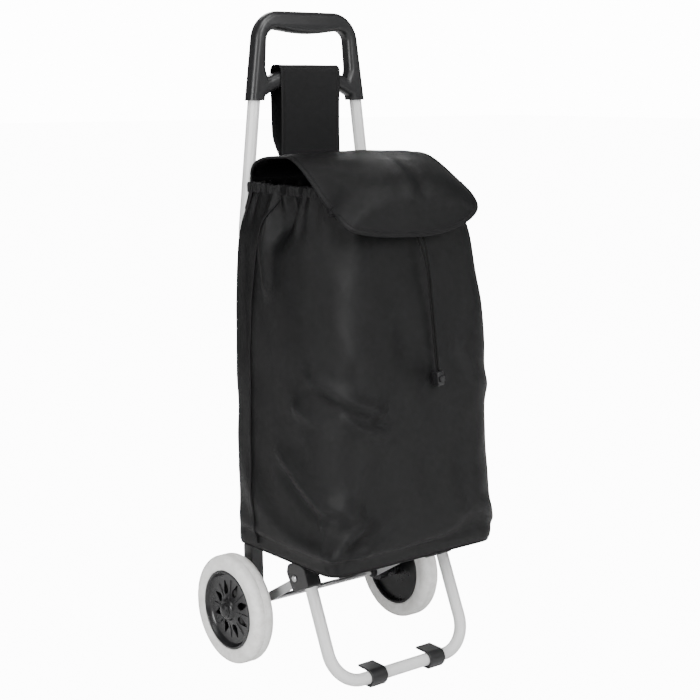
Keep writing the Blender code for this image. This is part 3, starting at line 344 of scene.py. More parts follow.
# ---- mesh helpers ---------------------------------------------------------------------------
def place(name, data, look, body, slot, nodes=()):
    """A new piece on a body, or kept in place without a parent when not given a body name; the CAD
    nodes it stands for are hidden.
    """
    made = bpy.data.objects.new(name, data)
    bpy.context.scene.collection.objects.link(made)
    data.materials.clear()
    data.materials.append(look)
    if isinstance(body, str):
        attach(made, body)
    else:
        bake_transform(made)
    if nodes:
        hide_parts(*nodes)
    return made


def settle(mesh, angle=None):
    """Faces outwards and smooth, with edges sharper than the angle kept."""
    shape = bmesh.new()
    shape.from_mesh(mesh)
    bmesh.ops.recalc_face_normals(shape, faces=shape.faces)
    shape.to_mesh(mesh)
    shape.free()
    mesh.shade_smooth()
    if angle:
        mesh.set_sharp_from_angle(angle=math.radians(angle))
    return mesh


def grid_mesh(name, rows, around=False, along=False, capped=False, angle=None):
    """A mesh through rows of points: closed around each row, along the rows, or capped."""
    count = len(rows[0])
    faces = []
    for r in range(len(rows) if along else len(rows) - 1):
        for c in range(count if around else count - 1):
            low, high = r * count, (r + 1) % len(rows) * count
            right = (c + 1) % count
            faces.append((low + c, low + right, high + right, high + c))
    if capped:
        faces.append(tuple(reversed(range(count))))
        faces.append(tuple(range((len(rows) - 1) * count, len(rows) * count)))
    mesh = bpy.data.meshes.new(name)
    mesh.from_pydata([tuple(point) for row in rows for point in row], [], faces)
    return settle(mesh, angle)


def frames(path, closed=False):
    """Tangent, and two square directions that turn as little as possible, along a path."""
    count = len(path)
    found = []
    side = None
    for i, point in enumerate(path):
        before = path[i - 1] if closed or i else point
        after = path[(i + 1) % count] if closed or i < count - 1 else point
        ahead = (after - before).normalized()
        if side is None:
            start = Vector((0, 0, 1)) if abs(ahead.z) < 0.9 else Vector((1, 0, 0))
            side = ahead.cross(start)
        side = (side - ahead * side.dot(ahead)).normalized()
        found.append((ahead, side, ahead.cross(side)))
    return found


def rod_mesh(name, path, radius, segments=16, closed=False, capped=True, waist=None):
    """A round rod along a path; waist gives the radius at each share of its length."""
    rows = []
    for i, (point, (_, side, up)) in enumerate(zip(path, frames(path, closed))):
        here = radius * (waist(i / (len(path) - 1)) if waist else 1)
        rows.append([point + (side * math.cos(a) + up * math.sin(a)) * here
                     for a in (2 * math.pi * k / segments for k in range(segments))])
    return grid_mesh(name, rows, around=True, along=closed, capped=capped and not closed, angle=50)


def arc(centre, radius, start, end, steps):
    """Points on an arc, angles in degrees, both ends included."""
    angles = [math.radians(start + (end - start) * i / steps) for i in range(steps + 1)]
    return [(centre[0] + radius * math.cos(a), centre[1] + radius * math.sin(a)) for a in angles]


def bow(start, rise, end, steps):
    """Points from start to end, both on one level, on a shallow arc that rises between them."""
    half = (end[0] - start[0]) / 2
    radius = (half * half + rise * rise) / (2 * abs(rise))
    middle = (start[0] + end[0]) / 2
    points = []
    for i in range(steps + 1):
        x = start[0] + 2 * half * i / steps
        points.append((x, start[1] + math.sqrt(radius ** 2 - (x - middle) ** 2) - radius + rise))
    return points


def round_corners(corners, radii, steps=5, closed=True):
    """A path through corners, each replaced by an arc of its own radius (0 keeps it)."""
    points = []
    count = len(corners)
    for i, corner in enumerate(corners):
        here = Vector(corner)
        radius = radii[i] if isinstance(radii, (list, tuple)) else radii
        if radius == 0 or (not closed and i in (0, count - 1)):
            points.append(here)
            continue
        back = (Vector(corners[i - 1]) - here).normalized()
        ahead = (Vector(corners[(i + 1) % count]) - here).normalized()
        half = back.angle(ahead) / 2
        centre = here + (back + ahead).normalized() * (radius / math.sin(half))
        first = here + back * (radius / math.tan(half)) - centre
        last = here + ahead * (radius / math.tan(half)) - centre
        sweep = first.angle(last)
        for k in range(steps + 1):
            t = k / steps
            direction = first * math.sin((1 - t) * sweep) + last * math.sin(t * sweep)
            points.append(centre + direction / math.sin(sweep))
    return points


def axes(first, second, origin):
    """A placement from two square directions and an origin."""
    turn = Matrix((first, second, first.cross(second))).transposed()
    return Matrix.Translation(origin) @ turn.to_4x4()


def turned_mesh(name, profile, matrix, steps=96, angle=30):
    """A ring turned from a closed profile of (radius, height) around the placement's Z axis."""
    rows = []
    for k in range(steps):
        a = 2 * math.pi * k / steps
        rows.append([matrix @ Vector((r * math.cos(a), r * math.sin(a), h)) for r, h in profile])
    return grid_mesh(name, rows, around=True, along=True, angle=angle)


def plate_mesh(name, outlines, thickness, matrix, edge=0.0, rounds=6):
    """A flat outline with holes, given a thickness and rounded edges."""
    curve = bpy.data.curves.new(name, "CURVE")
    curve.dimensions = "2D"
    curve.fill_mode = "BOTH"
    curve.extrude = thickness / 2 - edge
    curve.bevel_depth = edge
    curve.bevel_resolution = rounds
    curve.offset = -edge
    for outline in outlines:
        made = curve.splines.new("POLY")
        made.points.add(len(outline) - 1)
        for spot, point in zip(made.points, outline):
            spot.co = (point[0], point[1], 0, 1)
        made.use_cyclic_u = True
    holder = bpy.data.objects.new(name, curve)
    bpy.context.scene.collection.objects.link(holder)
    bpy.context.view_layer.update()
    mesh = bpy.data.meshes.new_from_object(
        holder.evaluated_get(bpy.context.evaluated_depsgraph_get()))
    bpy.data.objects.remove(holder)
    mesh.transform(matrix)
    shape = bmesh.new()
    shape.from_mesh(mesh)
    bmesh.ops.remove_doubles(shape, verts=shape.verts, dist=1e-6)
    shape.to_mesh(mesh)
    shape.free()
    return settle(mesh)


def carved(mesh, cutters, operation="DIFFERENCE"):
    """A mesh with others cut from it, or joined to it."""
    holder = bpy.data.objects.new("carved", mesh)
    bpy.context.scene.collection.objects.link(holder)
    tools = []
    for cutter in cutters:
        tool = bpy.data.objects.new("cutter", cutter)
        bpy.context.scene.collection.objects.link(tool)
        tools.append(tool)
        step = holder.modifiers.new("cut", "BOOLEAN")
        step.operation, step.object, step.solver = operation, tool, "EXACT"
    bpy.context.view_layer.update()
    result = bpy.data.meshes.new_from_object(
        holder.evaluated_get(bpy.context.evaluated_depsgraph_get()))
    for old in [holder, *tools]:
        bpy.data.objects.remove(old)
    return result


def joined(name, meshes):
    """Several meshes as one."""
    shape = bmesh.new()
    for mesh in meshes:
        shape.from_mesh(mesh)
    made = bpy.data.meshes.new(name)
    shape.to_mesh(made)
    shape.free()
    made.shade_smooth()
    return made


def soft_edges(piece, width, segments=3, angle=30):
    """Rounded edges on a carried-over node or a carved piece, by modifiers only."""
    weld = piece.modifiers.new("weld", "WELD")
    weld.merge_threshold = 0.00002
    flat = piece.modifiers.new("flat", "DECIMATE")
    flat.decimate_type = "DISSOLVE"
    flat.angle_limit = math.radians(1)
    edge = piece.modifiers.new("edge", "BEVEL")
    edge.width = width
    edge.segments = segments
    edge.limit_method = "ANGLE"
    edge.angle_limit = math.radians(angle)
    edge.use_clamp_overlap = True
    piece.modifiers.new("shading", "WEIGHTED_NORMAL").keep_sharp = False
    return piece


def wear(node, look):
    """Give a carried-over CAD node its finished material."""
    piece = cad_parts[node]
    if not piece.material_slots:
        piece.data.materials.append(look)
    for spot in piece.material_slots:
        spot.material = look
    return piece


def stitches(name, route, normals, body, length=0.0028, pitch=0.0042, radius=0.00028,
             parent_slot="cord"):
    """A row of small raised stitches along a route on a surface."""
    spots, travelled, next_at = [], 0.0, pitch / 2
    for i in range(len(route) - 1):
        a, b = route[i], route[i + 1]
        step = (b - a).length
        while next_at <= travelled + step and step > 0:
            t = (next_at - travelled) / step
            spots.append((a.lerp(b, t), (b - a).normalized(), normals[i].lerp(normals[i + 1], t)))
            next_at += pitch
        travelled += step
    rows, faces, verts = 6, [], []
    for centre, ahead, up in spots:
        up = up.normalized()
        side = ahead.cross(up).normalized()
        first = len(verts)
        for share, waist, lift in ((-0.5, 0.25, -0.4), (-0.32, 0.95, 0.35), (0.0, 1.1, 0.6),
                                   (0.32, 0.95, 0.35), (0.5, 0.25, -0.4)):
            middle = centre + ahead * length * share + up * radius * lift
            for k in range(rows):
                a = 2 * math.pi * k / rows
                verts.append(middle + (side * math.cos(a) + up * math.sin(a)) * radius * waist)
        for ring in range(4):
            for k in range(rows):
                low, high = first + ring * rows, first + (ring + 1) * rows
                faces.append((low + k, low + (k + 1) % rows, high + (k + 1) % rows, high + k))
        faces.append(tuple(reversed(range(first, first + rows))))
        faces.append(tuple(range(first + 4 * rows, first + 5 * rows)))
    mesh = bpy.data.meshes.new(name)
    mesh.from_pydata([tuple(v) for v in verts], [], faces)
    return place(name, settle(mesh), THREAD, body, parent_slot)


# ---- drawstring: two free strands with the cord lock on them ------------------------------------
def strand_route(sign):
    """Chosen points of one free strand, from its eyelet down into the cord lock."""
    slope = math.tan(CORD_SLANT)
    offset = sign * STRAND_SPACING / 2

    def hanging(height, spread=1.0, forward=CORD_FORWARD):
        z = STRAND_END_Z + height
        return at(LOCK_X + (LOCK_Z - z) * slope + offset * spread, forward, z)

    x = sign * EYELET_SPACING / 2
    return [at(x, EYELET_FACE + 0.0006, EYELET_Z), at(x, EYELET_FACE + 0.0045, EYELET_Z - 0.0015),
            at(x * 0.93, EYELET_FACE + 0.0075, EYELET_Z - 0.010),
            hanging(CORD_STRAIGHT + 0.065, 4.0, EYELET_FACE + 0.012),
            hanging(CORD_STRAIGHT + 0.030, 1.8, CORD_FORWARD - 0.004), hanging(CORD_STRAIGHT),
            hanging(CORD_STRAIGHT * 0.8), hanging(CORD_STRAIGHT * 0.4), hanging(0)]


def build_drawstring():
    """The strands, as cords of their real length, and the lock and button on them."""
    for node in ("cord_lock_body", "cord_lock_button"):
        soft_edges(wear(node, PLASTIC), 0.0004)
    for side, sign in (("left", -1), ("right", 1)):
        route = smooth_route(strand_route(sign), 0.004)
        curve = bpy.data.curves.new("drawstring_" + side, "CURVE")
        curve.dimensions = "3D"
        curve.bevel_depth = CORD_RADIUS
        curve.bevel_resolution = 3
        curve.use_fill_caps = True
        spline = curve.splines.new("POLY")
        spline.points.add(len(route) - 1)
        for spot, point in zip(spline.points, route):
            spot.co = (*point, 1)
        strand = place("cord_" + side, curve, CORD, "frame", "cord", ["drawstring_" + side])


build_drawstring()


# ---- frame: handle, wheels, leg ----------------------------------------------------------------
HANDLE_HEIGHT = 0.125
HANDLE_DEPTH = 0.0225
HANDLE_EDGE = 0.0078
SLEEVE_SPACING = 0.184
SLEEVE_WIDTH = 0.0235
SLEEVE_SPLAY = 0.119
HANDLE_TOP_WIDTH = 0.173
HANDLE_CORNER = 0.044
GRIP_THICKNESS = 0.033
GRIP_BULGE = 0.009
GRIP_CURVE = 0.25
HAND_GAP_WIDTH = 0.142
HAND_GAP_CORNER = 0.016
CROSSBAR_CROWN = 0.048
CROSSBAR_HEIGHT = 0.022
CROSSBAR_RISE = 0.020
SLEEVE_CLEARANCE = 0.0004
SLEEVE_BORE = 0.046
SCREW_RISE = 0.020
SCREW_HOLE = 0.0023
SCREW_DEPTH = 0.010


def rod_cutter(origin, direction, radius, start, end, steps=48):
    """A round cutter along a direction."""
    path = [origin + direction * start, origin + direction * end]
    return rod_mesh("cutter", path, radius, steps)


def build_handle():
    """The moulded handle: round-edged arms, swelling grip, arched bar and open sleeves."""
    base_z = HANDLE_HIGH.z - HANDLE_HEIGHT * math.cos(FRAME_LEAN)
    base = at(0, tube_forward(base_z), base_z)
    up = Vector((0, math.sin(FRAME_LEAN), math.cos(FRAME_LEAN)))
    placement = axes(Vector((1, 0, 0)), up, base)
    foot, half_sleeve, over = SLEEVE_SPACING / 2, SLEEVE_WIDTH / 2, 2 * HANDLE_EDGE
    crown, under = CROSSBAR_CROWN, CROSSBAR_CROWN - CROSSBAR_HEIGHT
    inner, tuck = foot - half_sleeve, HANDLE_EDGE / 2
    arch = bow((-inner + tuck, under - CROSSBAR_RISE), CROSSBAR_RISE,
               (inner - tuck, under - CROSSBAR_RISE), 40)
    right = round_corners([(inner, -over), (foot + half_sleeve, -over), (foot + half_sleeve, 0.0),
                           (HANDLE_TOP_WIDTH / 2, HANDLE_HEIGHT), (0, HANDLE_HEIGHT)],
                          [0, 0, 0, HANDLE_CORNER, 0], steps=28, closed=False)
    outer = [tuple(p) for p in right]
    outer += [(-x, y) for x, y in reversed(outer[:-1])] + arch
    gap = HAND_GAP_WIDTH / 2
    gap_top = HANDLE_HEIGHT - GRIP_THICKNESS + GRIP_BULGE
    rise = CROSSBAR_RISE * 0.8
    lower = bow((-gap, crown - rise), rise, (gap, crown - rise), 40)
    upper = round_corners([lower[-1], (gap + tuck, crown - tuck), (gap, gap_top),
                           (0, gap_top - GRIP_BULGE), (-gap, gap_top),
                           (-gap - tuck, crown - tuck), lower[0]],
                          [0, 0.010, HAND_GAP_CORNER, GRIP_CURVE, HAND_GAP_CORNER, 0.010, 0],
                          steps=18, closed=False)
    opening = lower[1:-1] + [tuple(p) for p in upper]
    opening.reverse()
    body = plate_mesh("handle", [outer, opening], HANDLE_DEPTH, placement, HANDLE_EDGE, rounds=7)
    cutters = []
    trim = placement @ Matrix.Translation((0, -over, 0))
    shape = bmesh.new()
    bmesh.ops.create_cube(shape, size=1, matrix=trim @ Matrix.Diagonal((0.25, 2 * over, 0.10, 1)))
    low = bpy.data.meshes.new("cutter")
    shape.to_mesh(low)
    shape.free()
    cutters.append(low)
    for sign in (-1, 1):
        axis = Vector((-sign * SLEEVE_SPLAY * math.cos(FRAME_LEAN), up.y, up.z)).normalized()
        start = base + Vector((sign * foot, 0, 0))
        cutters.append(rod_cutter(start, axis, TUBE_RADIUS + SLEEVE_CLEARANCE, -0.03, SLEEVE_BORE))
        back = Vector((0, up.z, -up.y))
        spot = start + axis * SCREW_RISE + back * (HANDLE_DEPTH / 2 - SCREW_DEPTH)
        cutters.append(rod_cutter(spot, back, SCREW_HOLE, 0, 2 * SCREW_DEPTH, 24))
    mesh = carved(body, cutters)
    settle(mesh, 48)
    place("handle_moulding", mesh, PLASTIC, "frame", "plastic", ["handle"])
    seam = [placement @ Vector((x, y, 0)) for x, y in outer[3:-len(arch) - 3]]
    seam = [p for p in seam if p.z > base_z + 0.001]
    line = rod_mesh("parting_line", seam, 0.00022, 6)
    place("handle_parting_line", line, PLASTIC, "frame", "plastic")


WHEEL_TURN_STEPS = 128
HOLE_COUNT = 8
HUB_HALF_WIDTH = 0.0145
BOSS_INNER, BOSS_OUTER = 0.018, 0.0165      # how far the boss reaches each way from the middle
HUB_BORE = 0.0044
TYRE_SHOULDER = 0.0095
# The faceted boss, as (radius, distance from the wheel's middle).
BOSS_STEPS = ((0.0116, 0.0158), (0.0116, 0.0172), (0.0112, 0.0180), (0.0098, 0.0187),
              (0.0097, 0.0187), (0.0094, 0.0184), (0.0094, 0.0160))


def teardrop(inner, outer, round_radius, tip_radius):
    """Outline of a hub hole: wide near the boss and pointed towards the rim."""
    wide, far = inner + round_radius, outer - tip_radius
    spread = math.degrees(math.acos((round_radius - tip_radius) / (far - wide)))
    return (arc((wide, 0), round_radius, spread, 360 - spread, 20)
            + arc((far, 0), tip_radius, -spread, spread, 6))


def build_wheel(side, sign):
    """A dished hub with teardrop holes and a faceted boss, and a moulded foam tyre."""
    middle = sign * (TYRE_LOW.x + TYRE_HIGH.x) / 2
    matrix = axes(Vector((0, 0, -1)), Vector((0, sign, 0)), Vector((middle, AXLE_Y, AXLE_Z)))
    body = "wheel_" + side
    rim = (HUB_HIGH.z - HUB_LOW.z) / 2
    half, bore = HUB_HALF_WIDTH, HUB_BORE
    boss_in, boss_out = BOSS_INNER, BOSS_OUTER
    dish = [(rim, half - 0.001)] + arc((rim - 0.001, half - 0.001), 0.001, 0, 90, 4)
    dish += [(rim - 0.0028, half), (rim - 0.0040, half - 0.0016), (rim - 0.0052, 0.0095),
             (rim - 0.0075, 0.0072), (rim - 0.0115, 0.0060), (0.034, 0.0066), (0.0245, 0.0082),
             (0.0185, 0.0102), (0.0162, 0.0112), (0.0152, 0.0128), (0.0142, 0.0150),
             (0.0128, boss_out - 0.0004), (0.0110, boss_out), (bore, boss_out)]
    back = [(bore, -boss_in), (0.0118, -boss_in), (0.0125, -boss_in + 0.0007), (0.0125, 0.0060),
            (0.0180, 0.0066), (0.034, 0.0036), (rim - 0.0115, 0.0030), (rim - 0.0052, 0.0040),
            (rim - 0.0030, 0.0070), (rim - 0.0030, -half + 0.0006), (rim - 0.0024, -half),
            (rim - 0.0006, -half), (rim, -half + 0.0006)]
    hub = turned_mesh("hub", dish + back, matrix, WHEEL_TURN_STEPS)
    holes = []
    for i in range(HOLE_COUNT):
        turn = Matrix.Rotation(2 * math.pi * (i + 0.5) / HOLE_COUNT, 4, "Z")
        holes.append(plate_mesh("hole", [teardrop(0.0225, rim - 0.0150, 0.0058, 0.0015)], 0.06,
                                matrix @ turn))
    hub = settle(carved(hub, [joined("holes", holes)]), 28)
    place("hub_moulding_" + side, hub, GLOSS, body, "plastic", ["hub_" + side])
    ribs = []
    for i in range(HOLE_COUNT):
        turn = matrix @ Matrix.Rotation(2 * math.pi * i / HOLE_COUNT, 4, "Z")
        path = [turn @ Vector((0.0156 + 0.0275 * k / 8, 0, 0.0112 - 0.0046 * (k / 8) ** 0.5))
                for k in range(9)]
        ribs.append(rod_mesh("rib", path, 0.0006, 10, waist=lambda t: 1.15 - 0.35 * t))
    place("hub_ribs_" + side, joined("hub_ribs_" + side, ribs), GLOSS, body, "plastic")
    web_profile = [(0.0128, -0.0062), (0.020, -0.0066), (0.040, -0.0066), (rim - 0.0034, -0.0052),
                   (rim - 0.0034, -0.0072), (0.040, -0.0088), (0.020, -0.0088), (0.0128, -0.0082)]
    web = turned_mesh("hub_web_" + side, web_profile, matrix, WHEEL_TURN_STEPS)
    place("hub_web_" + side, web, GLOSS, body, "plastic")
    nut = []
    for radius, height in BOSS_STEPS:
        nut.append([matrix @ Vector((radius * math.cos(a), radius * math.sin(a), height))
                    for a in (2 * math.pi * j / 8 for j in range(8))])
    facets = grid_mesh("hub_boss_" + side, nut, around=True, capped=False, angle=15)
    place("hub_boss_" + side, facets, GLOSS, body, "plastic")
    outer = (TYRE_HIGH.z - TYRE_LOW.z) / 2
    wide = (TYRE_HIGH.x - TYRE_LOW.x) / 2
    inside, shoulder = rim + 0.0003, TYRE_SHOULDER
    crown = arc((outer - shoulder, wide - shoulder), shoulder, 2, 90, 12)
    tread = [(outer, 0.0005), (outer - 0.0004, 0.0009), (outer - 0.00005, 0.0016)]
    wall = [(inside + 0.0085, wide - 0.0001), (inside + 0.0045, wide - 0.0006),
            (inside + 0.0020, wide - 0.0016), (inside, wide - 0.0030)]
    upper = tread + crown + wall
    profile = upper + [(r, -h) for r, h in reversed(upper)]
    tyre = turned_mesh("tyre_foam_" + side, profile, matrix, WHEEL_TURN_STEPS, angle=60)
    for vert in tyre.vertices:
        wobble = noise.noise(vert.co * 38) * 0.00035 + noise.noise(vert.co * 95) * 0.00030
        away = (vert.co - matrix.translation).normalized()
        vert.co -= away * abs(wobble)
    place("tyre_foam_" + side, tyre, FOAM, body, "foam", ["tyre_" + side])


LEG_LEAN = math.radians(24.1)
LEG_CORNER = 0.047


def build_leg():
    """The bent leg tube, its upper ends inside the two pivot blocks."""
    leg_x = LEG_HIGH.x - TUBE_RADIUS
    bar_z = LEG_LOW.z + TUBE_RADIUS
    lean = LEG_LEAN
    down = Vector((0, -math.sin(lean), -math.cos(lean)))
    bottom_y = LEG_LOW.y + TUBE_RADIUS
    bottom = Vector((0, bottom_y, bar_z))
    top_z = LEG_HIGH.z - TUBE_RADIUS * math.sin(lean)
    top = bottom - down * ((top_z - bar_z) / math.cos(lean))
    side = Vector((leg_x, 0, 0))
    corners = [top - side, bottom - side, bottom + side, top + side]
    path = round_corners(corners, LEG_CORNER, steps=30, closed=False)
    outer = rod_mesh("leg", path, TUBE_RADIUS, 40)
    place("leg_tube_painted", outer, PAINT, "leg", "paint", ["leg_tube"])


def dress_frame():
    """Finished materials and softened edges for the carried-over frame nodes."""
    for side in ("left", "right"):
        wear("side_tube_" + side, PAINT)
        for node in ("axle_bracket_", "leg_block_"):
            soft_edges(wear(node + side, PLASTIC), 0.0009)
        soft_edges(wear("foot_clip_" + side, PLASTIC), 0.0004)
        for node in ("wheel_spacer_", "strut_bush_", "axle_cap_"):
            wear(node + side, PLASTIC)
        soft_edges(wear("strut_" + side, ZINC), 0.0003)
        for node in ("leg_rivet_", "bracket_rivet_", "handle_screw_", "eyelet_"):
            wear(node + side, STEEL)
    for name in ("lower", "upper"):
        wear("cross_tube_" + name, PAINT)
    for node in ("axle", "base_wire"):
        wear(node, CHROME)
    wear("bag_base_board", BOARD)


build_handle()
for wheel_side, wheel_sign in (("left", -1), ("right", 1)):
    build_wheel(wheel_side, wheel_sign)
build_leg()
dress_frame()


# ---- bag -------------------------------------------------------------------------------------
BAG_HALF = BAG_HIGH.x
BAG_FRONT = AXLE_Y - BAG_LOW.y
BAG_BOTTOM = BAG_LOW.z
CLOTH = 0.0011
RIM_DRAW = 0.022
REAR_CORNER = 0.013
BACK_STEPS, REAR_STEPS, SIDE_STEPS, CORNER_STEPS, FRONT_STEPS = 18, 6, 26, 14, 32
FRONT_MIDDLE = BACK_STEPS + REAR_STEPS + SIDE_STEPS + CORNER_STEPS + FRONT_STEPS // 2
SEAM_POINTS = ((0.051, 0.190), (0.040, 0.300), (0.036, 0.420), (0.038, 0.560), (0.050, 0.630),
               (0.066, 0.676))
FOLD_STRENGTH = 1.35
# Draped folds: a route of (distance round the bag from the middle of the front, height), its
# half width, and how far it stands out (a negative height is a valley). Left is negative.
FOLDS = (
    (((-0.195, 0.457), (-0.130, 0.425), (-0.060, 0.392)), 0.012, 0.0058),
    (((-0.185, 0.438), (-0.120, 0.405), (-0.050, 0.378)), 0.009, -0.0045),
    (((-0.150, 0.412), (-0.105, 0.386), (-0.055, 0.366)), 0.008, 0.0036),
    (((-0.217, 0.412), (-0.143, 0.385)), 0.010, 0.0042),
    (((-0.262, 0.350), (-0.205, 0.305), (-0.165, 0.280), (-0.098, 0.270)), 0.012, 0.0050),
    (((-0.250, 0.318), (-0.190, 0.272), (-0.120, 0.255)), 0.010, -0.0032),
    (((-0.172, 0.252), (-0.098, 0.268)), 0.011, 0.0038),
    (((-0.158, 0.196), (-0.125, 0.236), (-0.085, 0.262)), 0.009, 0.0045),
    (((-0.140, 0.192), (-0.105, 0.226), (-0.050, 0.246)), 0.010, -0.0035),
    (((-0.155, 0.206), (-0.081, 0.214)), 0.008, 0.0028),
    (((-0.120, 0.600), (-0.140, 0.520), (-0.120, 0.450)), 0.024, 0.0035),
    (((-0.060, 0.560), (-0.030, 0.480), (0.030, 0.420)), 0.022, -0.0028),
    (((0.060, 0.500), (0.105, 0.430), (0.150, 0.400)), 0.014, 0.0032),
    (((0.020, 0.330), (0.080, 0.300), (0.140, 0.310)), 0.020, -0.0022),
    (((0.165, 0.200), (0.130, 0.240), (0.090, 0.262)), 0.011, 0.0035),
    (((-0.262, 0.665), (-0.268, 0.600), (-0.262, 0.540)), 0.010, 0.0050),
    (((-0.315, 0.640), (-0.330, 0.540), (-0.325, 0.430)), 0.012, -0.0030),
    (((0.262, 0.660), (0.270, 0.590), (0.262, 0.520)), 0.011, 0.0045),
    (((0.205, 0.450), (0.260, 0.410), (0.310, 0.400)), 0.014, 0.0040),
    (((0.220, 0.330), (0.270, 0.290), (0.330, 0.300)), 0.013, 0.0035),
    (((0.210, 0.210), (0.240, 0.250), (0.300, 0.270)), 0.010, 0.0035),
)
DIMPLES = ((-0.232, 0.654, 0.023, 0.036, -0.021), (0.234, 0.648, 0.022, 0.038, -0.016),
           (-0.196, 0.662, 0.012, 0.026, 0.005), (-0.268, 0.650, 0.009, 0.036, 0.005))


def bag_back(z):
    """Forward place of the bag's back at a height: it lies along the side tubes."""
    return tube_forward(min(z, RIM_Z - BAND_DROP)) + BAG_TO_TUBE


def bag_ring(z, inset=0.0):
    """The bag's plan at a height, from the middle of its back round by the right: x, forward."""
    draw = ease(0.46, RIM_Z - 0.006, z)
    half = BAG_HALF - 0.0115 * draw - inset
    front = BAG_FRONT - 0.0215 * draw - inset
    back = bag_back(z) + inset
    turn = 0.024 + 0.034 * ease(BAG_BOTTOM + 0.01, 0.40, z)
    corner = {"right": turn - 0.006 * ease(0.3, 0.6, z), "left": turn + 0.012 * ease(0.2, 0.4, z)}
    rear = REAR_CORNER
    points = []

    def line(start, end, steps):
        for k in range(steps):
            points.append((start[0] + (end[0] - start[0]) * k / steps,
                           start[1] + (end[1] - start[1]) * k / steps))

    def bend(centre, radius, start, end, steps):
        points.extend(arc(centre, radius, start, end, steps)[:-1])

    right, left = corner["right"], corner["left"]
    line((0, back), (half - rear, back), BACK_STEPS)
    bend((half - rear, back + rear), rear, -90, 0, REAR_STEPS)
    line((half, back + rear), (half, front - right), SIDE_STEPS)
    bend((half - right, front - right), right, 0, 90, CORNER_STEPS)
    line((half - right, front), (-half + left, front), FRONT_STEPS)
    bend((-half + left, front - left), left, 90, 180, CORNER_STEPS)
    line((-half, front - left), (-half, back + rear), SIDE_STEPS)
    bend((-half + rear, back + rear), rear, 180, 270, REAR_STEPS)
    line((-half + rear, back), (0, back), BACK_STEPS)
    return points


def ring_lengths(ring):
    """Lengths round a ring up to each of its points, and up to the middle of its front."""
    lengths = [0.0]
    for i, a in enumerate(ring):
        b = ring[(i + 1) % len(ring)]
        lengths.append(lengths[-1] + math.hypot(b[0] - a[0], b[1] - a[1]))
    return lengths, lengths[FRONT_MIDDLE]


def outwards(before, after):
    """The way out of a ring between two of its points, as x, forward."""
    return Vector((after[1] - before[1], -(after[0] - before[0]))).normalized()


def off_back(q):
    """1 along the front and the sides, and 0 along the back."""
    return 1 - ease(0.372, 0.40, abs(q))


def segment_distance(p, a, b):
    """Distance from a point to a segment, in the plane."""
    ax, ay, bx, by = a[0], a[1], b[0], b[1]
    dx, dy = bx - ax, by - ay
    t = max(0.0, min(1.0, ((p[0] - ax) * dx + (p[1] - ay) * dy) / (dx * dx + dy * dy)))
    return math.hypot(p[0] - ax - dx * t, p[1] - ay - dy * t), t


def fold_height(q, z):
    """How far the draped folds and dimples push the cloth out at a place on the bag."""
    out = 0.0
    for route, width, height in FOLDS:
        best, share = 1.0, 0.0
        parts = len(route) - 1
        for i in range(parts):
            gap, t = segment_distance((q, z), route[i], route[i + 1])
            if gap < best:
                best, share = gap, (i + t) / parts
        if best < 3 * width:
            fade = ease(0.0, 0.18, share) * ease(1.0, 0.80, share) if 0 < share < 1 else 0.0
            out += FOLD_STRENGTH * height * math.exp(-(best / width) ** 2) * max(fade, 0.0)
    for q0, z0, wide, tall, height in DIMPLES:
        reach = ((q - q0 - 0.25 * (z - z0)) / wide) ** 2 + ((z - z0) / tall) ** 2
        if reach < 5:
            out += height * math.exp(-reach ** 1.35)
    return out


def drawn_in(q):
    """Where the drawstring pulls the rim inwards: the front corners and the sides."""
    return ease(0.050, 0.135, abs(q)) * (1 - ease(0.330, 0.410, abs(q)))


def gather(q, z):
    """Pleats drawn together under the rim, tight at the top and fading out downwards."""
    depth = ease(0.612, RIM_Z, z)
    if depth <= 0:
        return 0.0
    drift = noise.noise(Vector((q * 14, z * 5, 3.1))) * 2.4
    wave = math.sin(2 * math.pi * q / 0.0235 + drift + 6 * z)
    fine = math.sin(2 * math.pi * q / 0.0112 + 2 * drift)
    calm = 1.0 - 0.85 * (1 - ease(0.016, 0.050, abs(q)))
    side = 0.55 + 0.45 * ease(0.13, 0.18, abs(q)) * (1 - 0.5 * ease(0.34, 0.40, abs(q)))
    fold = 0.0046 * wave * abs(wave) ** 0.2 * depth + 0.0014 * fine * depth ** 3
    drawn = drawn_in(q)
    ruffle = 0.0036 * math.sin(2 * math.pi * q / 0.0165 + 3 * drift) * drawn * depth ** 2
    return fold * calm * side + ruffle - RIM_DRAW * drawn * ease(0.600, RIM_Z + 0.006, z) ** 1.3


def gathered(q, z):
    """The pleats with their strength along the back turned down."""
    return gather(q, z) * (0.25 + 0.75 * off_back(q))


def swell(q, z):
    """The fullness of the panels between their corners, and slow unevenness."""
    up = math.sin(math.pi * min(1.0, max(0.0, (z - BAG_BOTTOM) / (RIM_Z - BAG_BOTTOM))))
    panel = 0.0045 * up * math.exp(-(q / 0.11) ** 4)
    panel += 0.0035 * up * math.exp(-((abs(q) - 0.27) / 0.085) ** 4)
    panel += 0.0175 * math.exp(-((q - 0.222) / 0.080) ** 2) * math.exp(-((z - 0.345) / 0.150) ** 2)
    loose = min(1.0, 4 * (z - BAG_BOTTOM)) * (1 - ease(0.40, 0.44, abs(q)))
    spot = Vector((q * 9, z * 8, 0.7))
    uneven = 0.0042 * noise.noise(spot) + 0.0020 * noise.noise(spot * 2.7)
    return panel + uneven * max(0.0, loose)


